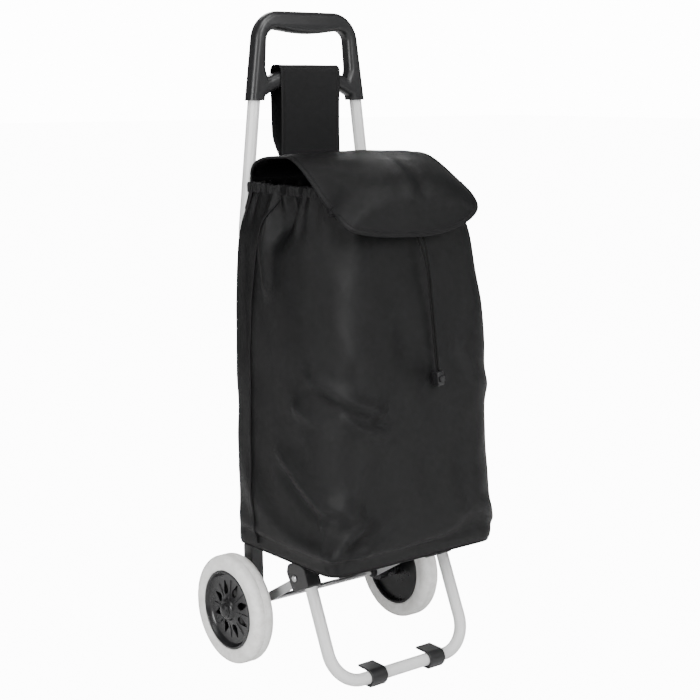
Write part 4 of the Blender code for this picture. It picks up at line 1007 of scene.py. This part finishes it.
def bag_rows():
    """Rows of cloth points from the base's middle up to the rim, and each point's q."""
    rows, marks = [], []
    levels = [(BAG_BOTTOM, inset) for inset in (0.075, 0.050, 0.030, 0.016, 0.009)]
    levels += [(BAG_BOTTOM + 0.0008, 0.0045), (BAG_BOTTOM + 0.0028, 0.0014)]
    steps = 84
    levels += [(BAG_BOTTOM + 0.006 + (RIM_Z - BAG_BOTTOM - 0.006) * k / steps, 0.0)
               for k in range(steps + 1)]
    for z, inset in levels:
        ring = bag_ring(z, inset)
        count = len(ring)
        lengths, middle = ring_lengths(ring)
        row, mark = [], []
        for i in range(count):
            away = outwards(ring[i - 1], ring[(i + 1) % count])
            q = middle - lengths[i]
            lift = 0.0
            if inset == 0.0:
                firm = ease(BAG_BOTTOM - 0.004, BAG_BOTTOM + 0.018, z)
                lift = firm * off_back(q) * (fold_height(q, z) + swell(q, z)) + gathered(q, z)
            row.append(at(ring[i][0] + away.x * lift, ring[i][1] + away.y * lift, z))
            mark.append(q)
        rows.append(row)
        marks.append(mark)
    return rows, marks


def draped(mesh, hold, frames_run, pressure, shrink):
    """The mesh after a cloth simulation, with the held points where they were."""
    holder = bpy.data.objects.new("drape", mesh.copy())
    bpy.context.scene.collection.objects.link(holder)
    group = holder.vertex_groups.new(name="hold")
    for index, weight in enumerate(hold):
        if weight > 0:
            group.add([index], weight, "REPLACE")
    step = holder.modifiers.new("cloth", "CLOTH")
    cloth = step.settings
    cloth.quality = 6
    cloth.mass = 0.25
    cloth.tension_stiffness = 28
    cloth.compression_stiffness = 28
    cloth.shear_stiffness = 12
    cloth.bending_stiffness = 6.0
    cloth.air_damping = 4
    cloth.use_pressure = True
    cloth.uniform_pressure_force = pressure
    cloth.shrink_min = shrink
    cloth.vertex_group_mass = "hold"
    cloth.pin_stiffness = 1.0
    step.collision_settings.use_collision = False
    step.collision_settings.use_self_collision = False
    step.point_cache.frame_start = 1
    step.point_cache.frame_end = frames_run
    scene = bpy.context.scene
    for number in range(1, frames_run + 1):
        scene.frame_set(number)
    moved = bpy.data.meshes.new_from_object(
        holder.evaluated_get(bpy.context.evaluated_depsgraph_get()))
    points = np.array([v.co for v in moved.vertices])
    bpy.data.objects.remove(holder)
    scene.frame_set(1)
    return points


SIM_FRAMES = 24
SOFTEN = 10
MOST_OUT = 0.005
MOST_IN = 0.0025
MOST_ALONG = 0.006


def held_share(q, z):
    """How firmly the cloth is held: fully at the base, the rim and the back, a little elsewhere."""
    base = 1 - ease(BAG_BOTTOM + 0.006, BAG_BOTTOM + 0.035, z)
    rim = ease(RIM_Z - 0.045, RIM_Z - 0.018, z)
    back = ease(0.365, 0.385, abs(q))
    return max(base, rim, back, 0.12)


def relax(mesh, rows, marks):
    """Let the cloth give a little under a short simulation, limited and smoothed round the bag."""
    rest = np.array([v.co for v in mesh.vertices])
    hold = [held_share(q, point.z) for row, mark in zip(rows, marks)
            for point, q in zip(row, mark)]
    moved = draped(mesh, hold, SIM_FRAMES, 1.0, -0.010)
    normals = np.array([v.normal for v in mesh.vertices])
    shift = moved - rest
    out = (shift * normals).sum(axis=1, keepdims=True)
    kept = np.clip(out, -MOST_IN, MOST_OUT)
    along = shift - out * normals
    reach = np.linalg.norm(along, axis=1, keepdims=True)
    along *= np.minimum(1.0, MOST_ALONG / np.maximum(reach, 1e-9))
    weight = 1 - np.array(hold).reshape(-1, 1)
    shift = (kept * normals + along) * np.minimum(1.0, weight * 1.3)
    shift = shift.reshape(len(rows), len(rows[0]), 3)
    for _ in range(SOFTEN):
        shift = (2 * shift + np.roll(shift, 1, axis=1) + np.roll(shift, -1, axis=1)) / 4
    mesh.vertices.foreach_set("co", (rest + shift.reshape(-1, 3)).ravel())
    mesh.update()


def build_bag():
    """The bag as a sewn shell: tapered, gathered at the rim, sagging between its corners."""
    rows, marks = bag_rows()
    count = len(rows[0])
    mesh = grid_mesh("bag_shell", rows, around=True)
    shape = bmesh.new()
    shape.from_mesh(mesh)
    shape.verts.ensure_lookup_table()
    base = [shape.verts[i] for i in range(count)]
    shape.faces.new(base)
    bmesh.ops.recalc_face_normals(shape, faces=shape.faces)
    shape.to_mesh(mesh)
    shape.free()
    relax(mesh, rows, marks)
    mesh.shade_smooth()
    bag = place("bag_cloth", mesh, NYLON, "frame", "nylon", ["bag_body"])
    smoother = bag.modifiers.new("cloth_detail", "SUBSURF")
    smoother.levels = smoother.render_levels = 1
    wall = bag.modifiers.new("wall", "SOLIDIFY")
    wall.thickness = CLOTH
    wall.offset = -1
    return rows, marks, [v.co.copy() for v in mesh.vertices], count


def build_piping(rows, marks, points, count):
    """The corded seams up the rear of both sides, and the seam around the base."""
    first = next(i for i, row in enumerate(rows) if row[0].z > BAG_BOTTOM + 0.012)
    for side, sign in (("left", -1), ("right", 1)):
        route = []
        wanted = smooth_route([Vector((f, z, 0)) for f, z in SEAM_POINTS], 0.004)
        for target in wanted:
            forward, z = target.x, target.y
            best, spot = 1.0, None
            for r in range(first, len(rows)):
                if abs(rows[r][0].z - z) > 0.006:
                    continue
                for c in range(count):
                    point = points[r * count + c]
                    if point.x * sign < 0.11:
                        continue
                    gap = abs(point.y - (AXLE_Y - forward)) + abs(point.z - z)
                    if gap < best:
                        best, spot = gap, point
            route.append(Vector((spot.x + sign * 0.0006, AXLE_Y - forward, z)))
        for _ in range(6):
            route = [route[0]] + [(a + b * 2 + c) / 4 for a, b, c in
                                  zip(route, route[1:], route[2:])] + [route[-1]]
        line = rod_mesh("piping", route, 0.0015, 12)
        place("bag_piping_" + side, line, BINDING, "frame", "nylon")
        inner = [p + Vector((sign * 0.0002, -0.0045, 0)) for p in route]
        stitches("bag_stitches_" + side, inner, [Vector((sign, 0, 0))] * len(inner), "frame")
    low = next(i for i, row in enumerate(rows) if row[0].z >= BAG_BOTTOM + 0.002)
    ring = [points[low * count + c] for c in range(count)]
    for _ in range(2):
        ring = [(ring[i - 1] + ring[i] * 2 + ring[(i + 1) % count]) / 4 for i in range(count)]
    seam = rod_mesh("base_seam", ring, 0.0010, 10, closed=True)
    place("bag_base_seam", seam, BINDING, "frame", "nylon")


bag_data = build_bag()
build_piping(*bag_data)


# ---- hem, strap, loops --------------------------------------------------------------------------
def build_hem():
    """The gathered hem around the rim, its stitch line, and the drawstring's ring inside it."""
    ring = bag_ring(RIM_Z, 0.001)
    count = len(ring)
    lengths, middle = ring_lengths(ring)
    dense, fine = [], 4
    for i in range(count):
        near = [ring[i - 1], ring[i], ring[(i + 1) % count], ring[(i + 2) % count]]
        for k in range(fine):
            t = k / fine
            x, forward = [between(*places, t) for places in zip(*near)]
            dense.append((x, forward, middle - (lengths[i] + (lengths[i + 1] - lengths[i]) * t)))
    top, foot, thick = HEM_HIGH.z, HEM_LOW.z, 0.0021
    section = [(thick, foot), (thick * 1.05, foot + 0.004), (thick * 1.2, foot + 0.009),
               (thick * 1.1, top - 0.0028), (thick * 0.6, top - 0.0006), (0.0, top),
               (-thick * 0.6, top - 0.0006), (-thick * 1.1, top - 0.0028),
               (-thick * 1.1, foot + 0.009), (-thick, foot + 0.004), (-thick, foot),
               (-0.0010, foot), (-0.0010, foot + 0.0012), (0.0010, foot + 0.0012), (0.0010, foot)]
    rows, stitch, outward = [], [], []
    total = len(dense)
    for i, (x, forward, q) in enumerate(dense):
        away = outwards(dense[i - 1], dense[(i + 1) % total])
        calm = 1 - 0.9 * (1 - ease(0.020, 0.045, abs(q)))
        pull = gathered(q, RIM_Z)
        pinch = abs(math.sin(math.pi * q / 0.0078 + noise.noise(Vector((q * 30, 0, 5))) * 2.5))
        loose = 1 + 1.6 * drawn_in(q)
        pucker = (0.0016 * pinch ** 0.6 - 0.0006) * calm * (0.3 + 0.7 * off_back(q)) * loose
        droop = (0.0012 * pinch + 0.0030 * (0.5 + noise.noise(Vector((q * 55, 2, 0))))) * calm
        droop *= 0.4 + 0.6 * drawn_in(q)
        row = []
        for out, z in section:
            rise = (z - foot) / (top - foot)
            lift = out + (pucker * (0.4 + 0.6 * rise) if out > 0.0012 else 0.0) + pull
            row.append(at(x + away.x * lift, forward + away.y * lift, z - droop * rise))
        rows.append(row)
        lift = pull + thick * 1.05 + pucker * 0.5 + 0.0001
        stitch.append(at(x + away.x * lift, forward + away.y * lift, foot + 0.0042))
        outward.append(Vector((away.x, -away.y, 0)))
    hem = grid_mesh("hem", rows, around=True, along=True, angle=60)
    place("hem_gathered", hem, NYLON, "frame", "nylon", ["bag_hem"])
    stitches("hem_stitches", stitch, outward, "frame")
    ring_low, ring_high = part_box("hem_cord")
    z = (ring_low.z + ring_high.z) / 2 - 0.0022
    path = []
    for i, (x, forward, q) in enumerate(dense[::3]):
        away = outwards(dense[3 * i - 3], dense[(3 * i + 3) % total])
        pull = gathered(q, RIM_Z)
        path.append(at(x + away.x * pull, forward + away.y * pull, z))
    place("hem_ring_cord", rod_mesh("ring", path, CORD_RADIUS * 0.9, 8, closed=True), CORD, "frame",
          "cord", ["hem_cord"])


STRAP_PLY = 0.0016


def strap_line():
    """The strap's middle line: up in front of the bar, over it and down behind, as forward, z."""
    bar = AXLE_Y - (STRAP_HIGH.y + STRAP_LOW.y) / 2
    inner = (STRAP_HIGH.y - STRAP_LOW.y) / 2 - STRAP_PLY
    middle = inner + STRAP_PLY / 2
    turn = 0.0083
    turn_z = STRAP_HIGH.z - STRAP_PLY - turn
    clear = turn_z - 0.030
    foot, join = STRAP_LOW.z, HEM_HIGH.z + 0.016
    tail = AXLE_Y - HEM_HIGH.y - 0.0011
    behind = tail - STRAP_PLY
    stretches = (((tail, foot), (tail, join - 0.008)),
                 ((tail, join), (bar + middle, clear)),
                 ((bar - middle, clear), (bar - middle + 0.0005, join + 0.075),
                  (bar - middle + 0.0040, join + 0.040), (behind - 0.0026, join + 0.012),
                  (behind, join)),
                 ((behind, join - 0.008), (behind, foot)))
    path = []
    for number, stretch in enumerate(stretches):
        path += smooth_route([Vector((f, z, 0)) for f, z in stretch], 0.005)
        if number == 1:
            path += [Vector((f, z, 0)) for f, z in
                     arc((bar + inner - turn, turn_z), turn + STRAP_PLY / 2, 0, 90, 10)
                     + arc((bar - inner + turn, turn_z), turn + STRAP_PLY / 2, 90, 180, 10)]
    return path


def sheet_rows(points, normals, thickness):
    """Rows around a sheet: its outer face, a rounded edge, its inner face and back."""
    rows = []
    half = thickness / 2
    for line, ups in zip(points, normals):
        outer = [p + n * half for p, n in zip(line, ups)]
        inner = [p - n * half for p, n in zip(line, ups)]
        first = line[0] + (line[0] - line[1]).normalized() * half * 0.8
        last = line[-1] + (line[-1] - line[-2]).normalized() * half * 0.8
        rows.append(outer + [last] + list(reversed(inner)) + [first])
    return rows


def build_strap():
    """The wide fabric loop over the handle's arched bar, edge-stitched and slightly uneven."""
    path = strap_line()
    wide = (STRAP_HIGH.x - STRAP_LOW.x) / 2
    columns = 44
    points, normals = [], []
    for i, spot in enumerate(path):
        ahead = heading(path, i)
        away = Vector((0, -ahead.y, -ahead.x))
        line, ups = [], []
        free = ease(0.0, 8.0, i) * ease(len(path) - 1, len(path) - 9, i)
        for k in range(columns + 1):
            x = -wide + 2 * wide * k / columns
            edge = wide - abs(x)
            wave = 0.00045 * noise.noise(Vector((x * 22, spot.y * 16, spot.x * 60))) * free
            seam = -0.00025 * math.exp(-((edge - 0.0042) / 0.0011) ** 2)
            roll = 0.00025 * math.exp(-(edge / 0.0035) ** 2)
            squeeze = 0.0006 * math.sin(spot.y * 38) * free * math.copysign(1, x)
            line.append(Vector((x * (1 - 0.004 * free) + squeeze, AXLE_Y - spot.x, spot.y))
                        + away * (wave + seam + roll))
            ups.append(away)
        points.append(line)
        normals.append(ups)
    rows = sheet_rows(points, normals, STRAP_PLY)
    mesh = grid_mesh("strap", rows, around=True, capped=True, angle=70)
    strap = place("strap_loop", mesh, WEBBING, "frame", "webbing", ["hanging_strap"])
    for side, column in (("left", 2), ("right", columns - 2)):
        route = [line[column] + ups[column] * (STRAP_PLY / 2 + 0.0001)
                 for line, ups in zip(points, normals)]
        stitches("strap_stitches_" + side, route, [ups[column] for ups in normals], "frame",
                 parent_slot="webbing")


def build_tube_loops():
    """Fabric loops on the bag's back that hold it to the side tubes."""
    for side, sign in (("left", -1), ("right", 1)):
        low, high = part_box("tube_loop_" + side)
        x0, ply = (low.x + high.x) / 2, 0.0015
        middle = (low.z + high.z) / 2
        centre = AXLE_Y - tube_forward(middle)
        outer = (high.x - low.x) / 2 - ply / 2
        front = low.y
        path = [Vector((x0 - outer, front, 0)), Vector((x0 - outer, front + 0.005, 0))]
        path += [Vector((x0 + x, centre + y, 0)) for x, y in arc((0, 0), outer, 180, 0, 24)][1:-1]
        path += [Vector((x0 + outer, front + 0.005, 0)), Vector((x0 + outer, front, 0))]
        points, normals = [], []
        steps = 14
        for i, spot in enumerate(path):
            ahead = heading(path, i)
            away = Vector((-ahead.y, ahead.x, 0))
            line = []
            for k in range(steps + 1):
                z = low.z + (high.z - low.z) * k / steps
                edge = min(k, steps - k) / steps * (high.z - low.z)
                ridge = 0.0002 * math.exp(-(edge / 0.003) ** 2)
                line.append(Vector((spot.x, spot.y, z)) + away * (ridge - 0.00005))
            points.append(line)
            normals.append([away] * (steps + 1))
        mesh = grid_mesh("loop", sheet_rows(points, normals, ply), around=True, capped=True, angle=70)
        loop = place("loop_webbing_" + side, mesh, WEBBING, "frame", "webbing", ["tube_loop_" + side])


build_hem()
build_strap()
build_tube_loops()


# ---- flap ------------------------------------------------------------------------------------------
FLAP_PLY = 0.0016
FLAP_REAR_HALF = 0.108
FLAP_WIDE_LEFT = 0.129
FLAP_WIDE_RIGHT = 0.110
FLAP_DROOP = 0.046
FLAP_DROOP_RIGHT = 0.026
FLAP_CORNER = 0.092
BEND_START = at(0, -0.0150, 0.7005)     # a point at the hinge, kept in FLAP_BEND
BEND_END = at(0, 0.0550, 0.7300)        # a point on the flap's top in front of it, kept in FLAP_BEND
FLAP_BEND = ("frame", "bag_flap", BEND_START, BEND_END)


def flap_profile():
    """The flap's middle line from its hinge to its front edge, as forward, z."""
    hinge = (AXLE_Y - FLAP_HIGH.y + 0.0006, HEM_HIGH.z + FLAP_PLY / 2 + 0.0004)
    front = AXLE_Y - FLAP_LOW.y - FLAP_PLY / 2 - 0.0016
    crown = FLAP_HIGH.z + 0.0042
    points = [hinge, (hinge[0] + 0.002, crown - 0.026), (hinge[0] + 0.015, crown - 0.013),
              (hinge[0] + 0.045, crown - 0.004), (hinge[0] + 0.100, crown),
              (front - 0.108, crown - 0.001), (front - 0.068, crown - 0.010),
              (front - 0.028, crown - 0.030), (front - 0.007, crown - 0.053),
              (front, crown - 0.076), (front, FLAP_LOW.z + 0.0002)]
    return smooth_route([Vector((f, z, 0)) for f, z in points], 0.003)


def flap_point(profile, lengths, x, l):
    """A point of the flap's middle surface at a sideways place and a length from the hinge."""
    total = lengths[-1]
    l = min(max(l, 0.0), total)
    i = int(np.searchsorted(lengths, l)) if l > 0 else 1
    i = min(max(i, 1), len(lengths) - 1)
    t = (l - lengths[i - 1]) / (lengths[i] - lengths[i - 1])
    spot = profile[i - 1].lerp(profile[i], t)
    share = l / total
    across = abs(x) / (FLAP_WIDE_LEFT if x < 0 else FLAP_WIDE_RIGHT)
    hang = ease(0.38, 0.70, share) * (1 - 0.35 * ease(0.75, 1.0, share))
    droop = (FLAP_DROOP if x < 0 else FLAP_DROOP_RIGHT) * hang * across ** 3.2
    droop += 0.004 * across ** 3 * (1 - hang)
    back = 0.006 * across ** 3 * ease(0.80, 0.95, share)
    uneven = 0.0022 * noise.noise(Vector((x * 16, l * 14, 8.4))) * ease(0.0, 0.15, share)
    gap, along = segment_distance((x, l), (0.004, 0.175), (-0.024, 0.312))
    crease = 0.0030 * math.exp(-(gap / 0.011) ** 2) * ease(0.0, 0.25, along) * ease(1.0, 0.8, along)
    valley, _ = segment_distance((x, l), (0.022, 0.175), (0.000, 0.312))
    crease -= 0.0016 * math.exp(-(valley / 0.012) ** 2)
    ridge, _ = segment_distance((x, l), (-0.110, 0.128), (0.070, 0.150))
    crease += 0.0022 * math.exp(-(ridge / 0.014) ** 2)
    return at(x, spot.x - back, spot.y - droop + uneven + crease)


def build_flap():
    """The flap: a curved sheet with rounded front corners, a bound edge and stitching."""
    profile = flap_profile()
    lengths = [0.0]
    for a, b in zip(profile, profile[1:]):
        lengths.append(lengths[-1] + (b - a).length)
    total = lengths[-1]
    columns, rows_count, step = 84, 96, 0.0005

    def spot(u, t):
        wide = 1 - (1 - min(1.0, t / 0.62)) ** 1.6
        half = FLAP_REAR_HALF
        half += ((FLAP_WIDE_LEFT if u < 0 else FLAP_WIDE_RIGHT) - half) * wide
        power = 2.7 if u < 0 else 2.3
        reach = total - FLAP_CORNER * (1 - max(0.0, 1 - abs(u) ** power) ** (1 / power))
        return half * u, reach * t

    points, normals = [], []
    for r in range(rows_count + 1):
        line, ups = [], []
        t = r / rows_count
        for c in range(columns + 1):
            u = math.sin(math.pi / 2 * (2 * c / columns - 1))
            x, l = spot(u, t)
            near = [flap_point(profile, lengths, x + dx, l + dl)
                    for dx, dl in ((step, 0), (-step, 0), (0, step), (0, -step))]
            right, ahead = near[0] - near[1], near[2] - near[3]
            line.append(flap_point(profile, lengths, x, l))
            ups.append(ahead.cross(right).normalized() * -1)
        points.append(line)
        normals.append(ups)
    if normals[rows_count // 3][columns // 2].z < 0:
        normals = [[-n for n in ups] for ups in normals]
    mesh = grid_mesh("flap", sheet_rows(points, normals, FLAP_PLY), around=True, capped=True, angle=70)
    flap = place("flap_cloth", mesh, NYLON, FLAP_BEND, "nylon", ["flap"])
    border = [(r, 0, r, 2) for r in range(rows_count + 1)]
    border += [(rows_count, c, rows_count - 2, c) for c in range(1, columns)]
    border += [(r, columns, r, columns - 2) for r in range(rows_count, -1, -1)]
    edge = [points[r][c] for r, c, _, _ in border]
    edge_up = [normals[r][c] for r, c, _, _ in border]
    edge_in = [(points[far][side] - points[r][c]).normalized() for r, c, far, side in border]
    band, stitch, stitch_up = [], [], []
    for i, (p, n) in enumerate(zip(edge, edge_up)):
        ahead = heading(edge, i)
        inward = edge_in[i] - ahead * edge_in[i].dot(ahead)
        inward = (inward - n * inward.dot(n)).normalized()
        high = FLAP_PLY / 2 + 0.0007
        outline = [(0.0062, high - 0.0005), (0.0056, high), (0.0010, high), (-0.0006, high * 0.7),
                   (-0.0011, 0), (-0.0006, -high * 0.7), (0.0010, -high), (0.0056, -high),
                   (0.0062, -high + 0.0005)]
        band.append([p + inward * a + n * b for a, b in outline])
        stitch.append(p + inward * 0.0049 + n * (high + 0.0001))
        stitch_up.append(n)
    place("flap_binding", grid_mesh("binding", band, around=True, capped=True, angle=75), BINDING,
          FLAP_BEND, "nylon")
    stitches("flap_stitches", stitch, stitch_up, FLAP_BEND)


build_flap()


def build_hinge_seam():
    """The bound seam that joins the flap to the back of the rim."""
    half = FLAP_REAR_HALF + 0.002
    foot, top = HEM_HIGH.z - 0.004, HEM_HIGH.z + 0.0042
    forward = AXLE_Y - FLAP_HIGH.y + 0.0008
    outline = [(-0.0019, foot), (-0.0020, top - 0.0014), (-0.0012, top), (0.0012, top),
               (0.0020, top - 0.0014), (0.0019, foot), (0.0012, foot - 0.0006),
               (-0.0012, foot - 0.0006)]
    rows = []
    for k in range(61):
        x = -half + 2 * half * k / 60
        lift = 0.0005 * noise.noise(Vector((x * 60, 0, 9)))
        rows.append([at(x, forward + f + lift, z + lift) for f, z in outline])
    seam = grid_mesh("hinge_seam", rows, around=True, capped=True, angle=75)
    place("flap_hinge_seam", seam, BINDING, "frame", "webbing")
    route = [at(-half + 0.003 + (2 * half - 0.006) * k / 80, forward + 0.0021, top - 0.0034)
             for k in range(81)]
    stitches("hinge_stitches", route, [Vector((0, -1, 0))] * len(route), "frame")


build_hinge_seam()


# ---- floor, light and finish -----------------------------------------------------------------------
BACKDROP_WHITE = 14.0
FLOOR_WASH = 0.90
SKY = 0.21
LAMPS = (("key", (0.5, -2.7, 1.9), 1.5, 70.0), ("side", (-2.6, -1.2, 1.2), 1.2, 72.0),
         ("back", (1.3, 2.6, 2.0), 1.4, 46.0), ("top", (-0.5, -1.0, 2.8), 1.5, 60.0))


def lit_backdrop(tree, dim, strength):
    """White where it is looked at directly, and a dimmer surface or sky for all other light."""
    seen = put(tree, "LightPath").outputs["Is Camera Ray"]
    white = put(tree, "Background" if dim.node.type == "BACKGROUND" else "Emission")
    white.inputs["Color"].default_value = (1.0, 1.0, 1.0, 1.0)
    white.inputs["Strength"].default_value = strength
    mixed = put(tree, "MixShader", _1=dim, _2=white.outputs[0])
    return seen, mixed


def build_stage():
    """A plain white floor, an even surround, and soft boxes around the trolley."""
    made = bpy.data.materials.new("floor")
    made.use_nodes = True
    tree = made.node_tree
    shader = tree.nodes["Principled BSDF"]
    spots = put(tree, "TexCoord").outputs["Object"]
    tree.links.new(ramp(tree, grain(tree, spots, 3.0, 3), (0.86, 0.86, 0.86), (0.88, 0.88, 0.88)),
                   shader.inputs["Base Color"])
    shader.inputs["Roughness"].default_value = 0.9
    shader.inputs["Specular IOR Level"].default_value = 0.1
    seen, mixed = lit_backdrop(tree, shader.outputs[0], BACKDROP_WHITE)
    tree.links.new(maths(tree, "MULTIPLY", seen, FLOOR_WASH), mixed.inputs[0])
    tree.links.new(mixed.outputs[0], tree.nodes["Material Output"].inputs["Surface"])
    corners = [Vector((x, y, -0.0005)) for x, y in ((-30, -30), (30, -30), (30, 30), (-30, 30))]
    mesh = bpy.data.meshes.new("floor")
    mesh.from_pydata([tuple(c) for c in corners], [], [(0, 1, 2, 3)])
    mesh.materials.append(made)
    floor = bpy.data.objects.new("floor", mesh)
    bpy.context.scene.collection.objects.link(floor)
    world = bpy.data.worlds.new("studio")
    bpy.context.scene.world = world
    world.use_nodes = True
    tree = world.node_tree
    sky = tree.nodes["Background"]
    sky.inputs["Color"].default_value = (1.0, 1.0, 1.0, 1.0)
    sky.inputs["Strength"].default_value = SKY
    seen, mixed = lit_backdrop(tree, sky.outputs[0], BACKDROP_WHITE)
    tree.links.new(seen, mixed.inputs[0])
    tree.links.new(mixed.outputs[0], tree.nodes["World Output"].inputs["Surface"])
    for name, spot, size, power in LAMPS:
        lamp = bpy.data.lights.new(name, "AREA")
        lamp.shape = "SQUARE"
        lamp.size = size
        lamp.energy = power
        holder = bpy.data.objects.new(name, lamp)
        bpy.context.scene.collection.objects.link(holder)
        holder.location = spot
        aim = Vector((0, 0, 0.5)) - Vector(spot)
        holder.rotation_euler = aim.to_track_quat("-Z", "Y").to_euler()


build_stage()
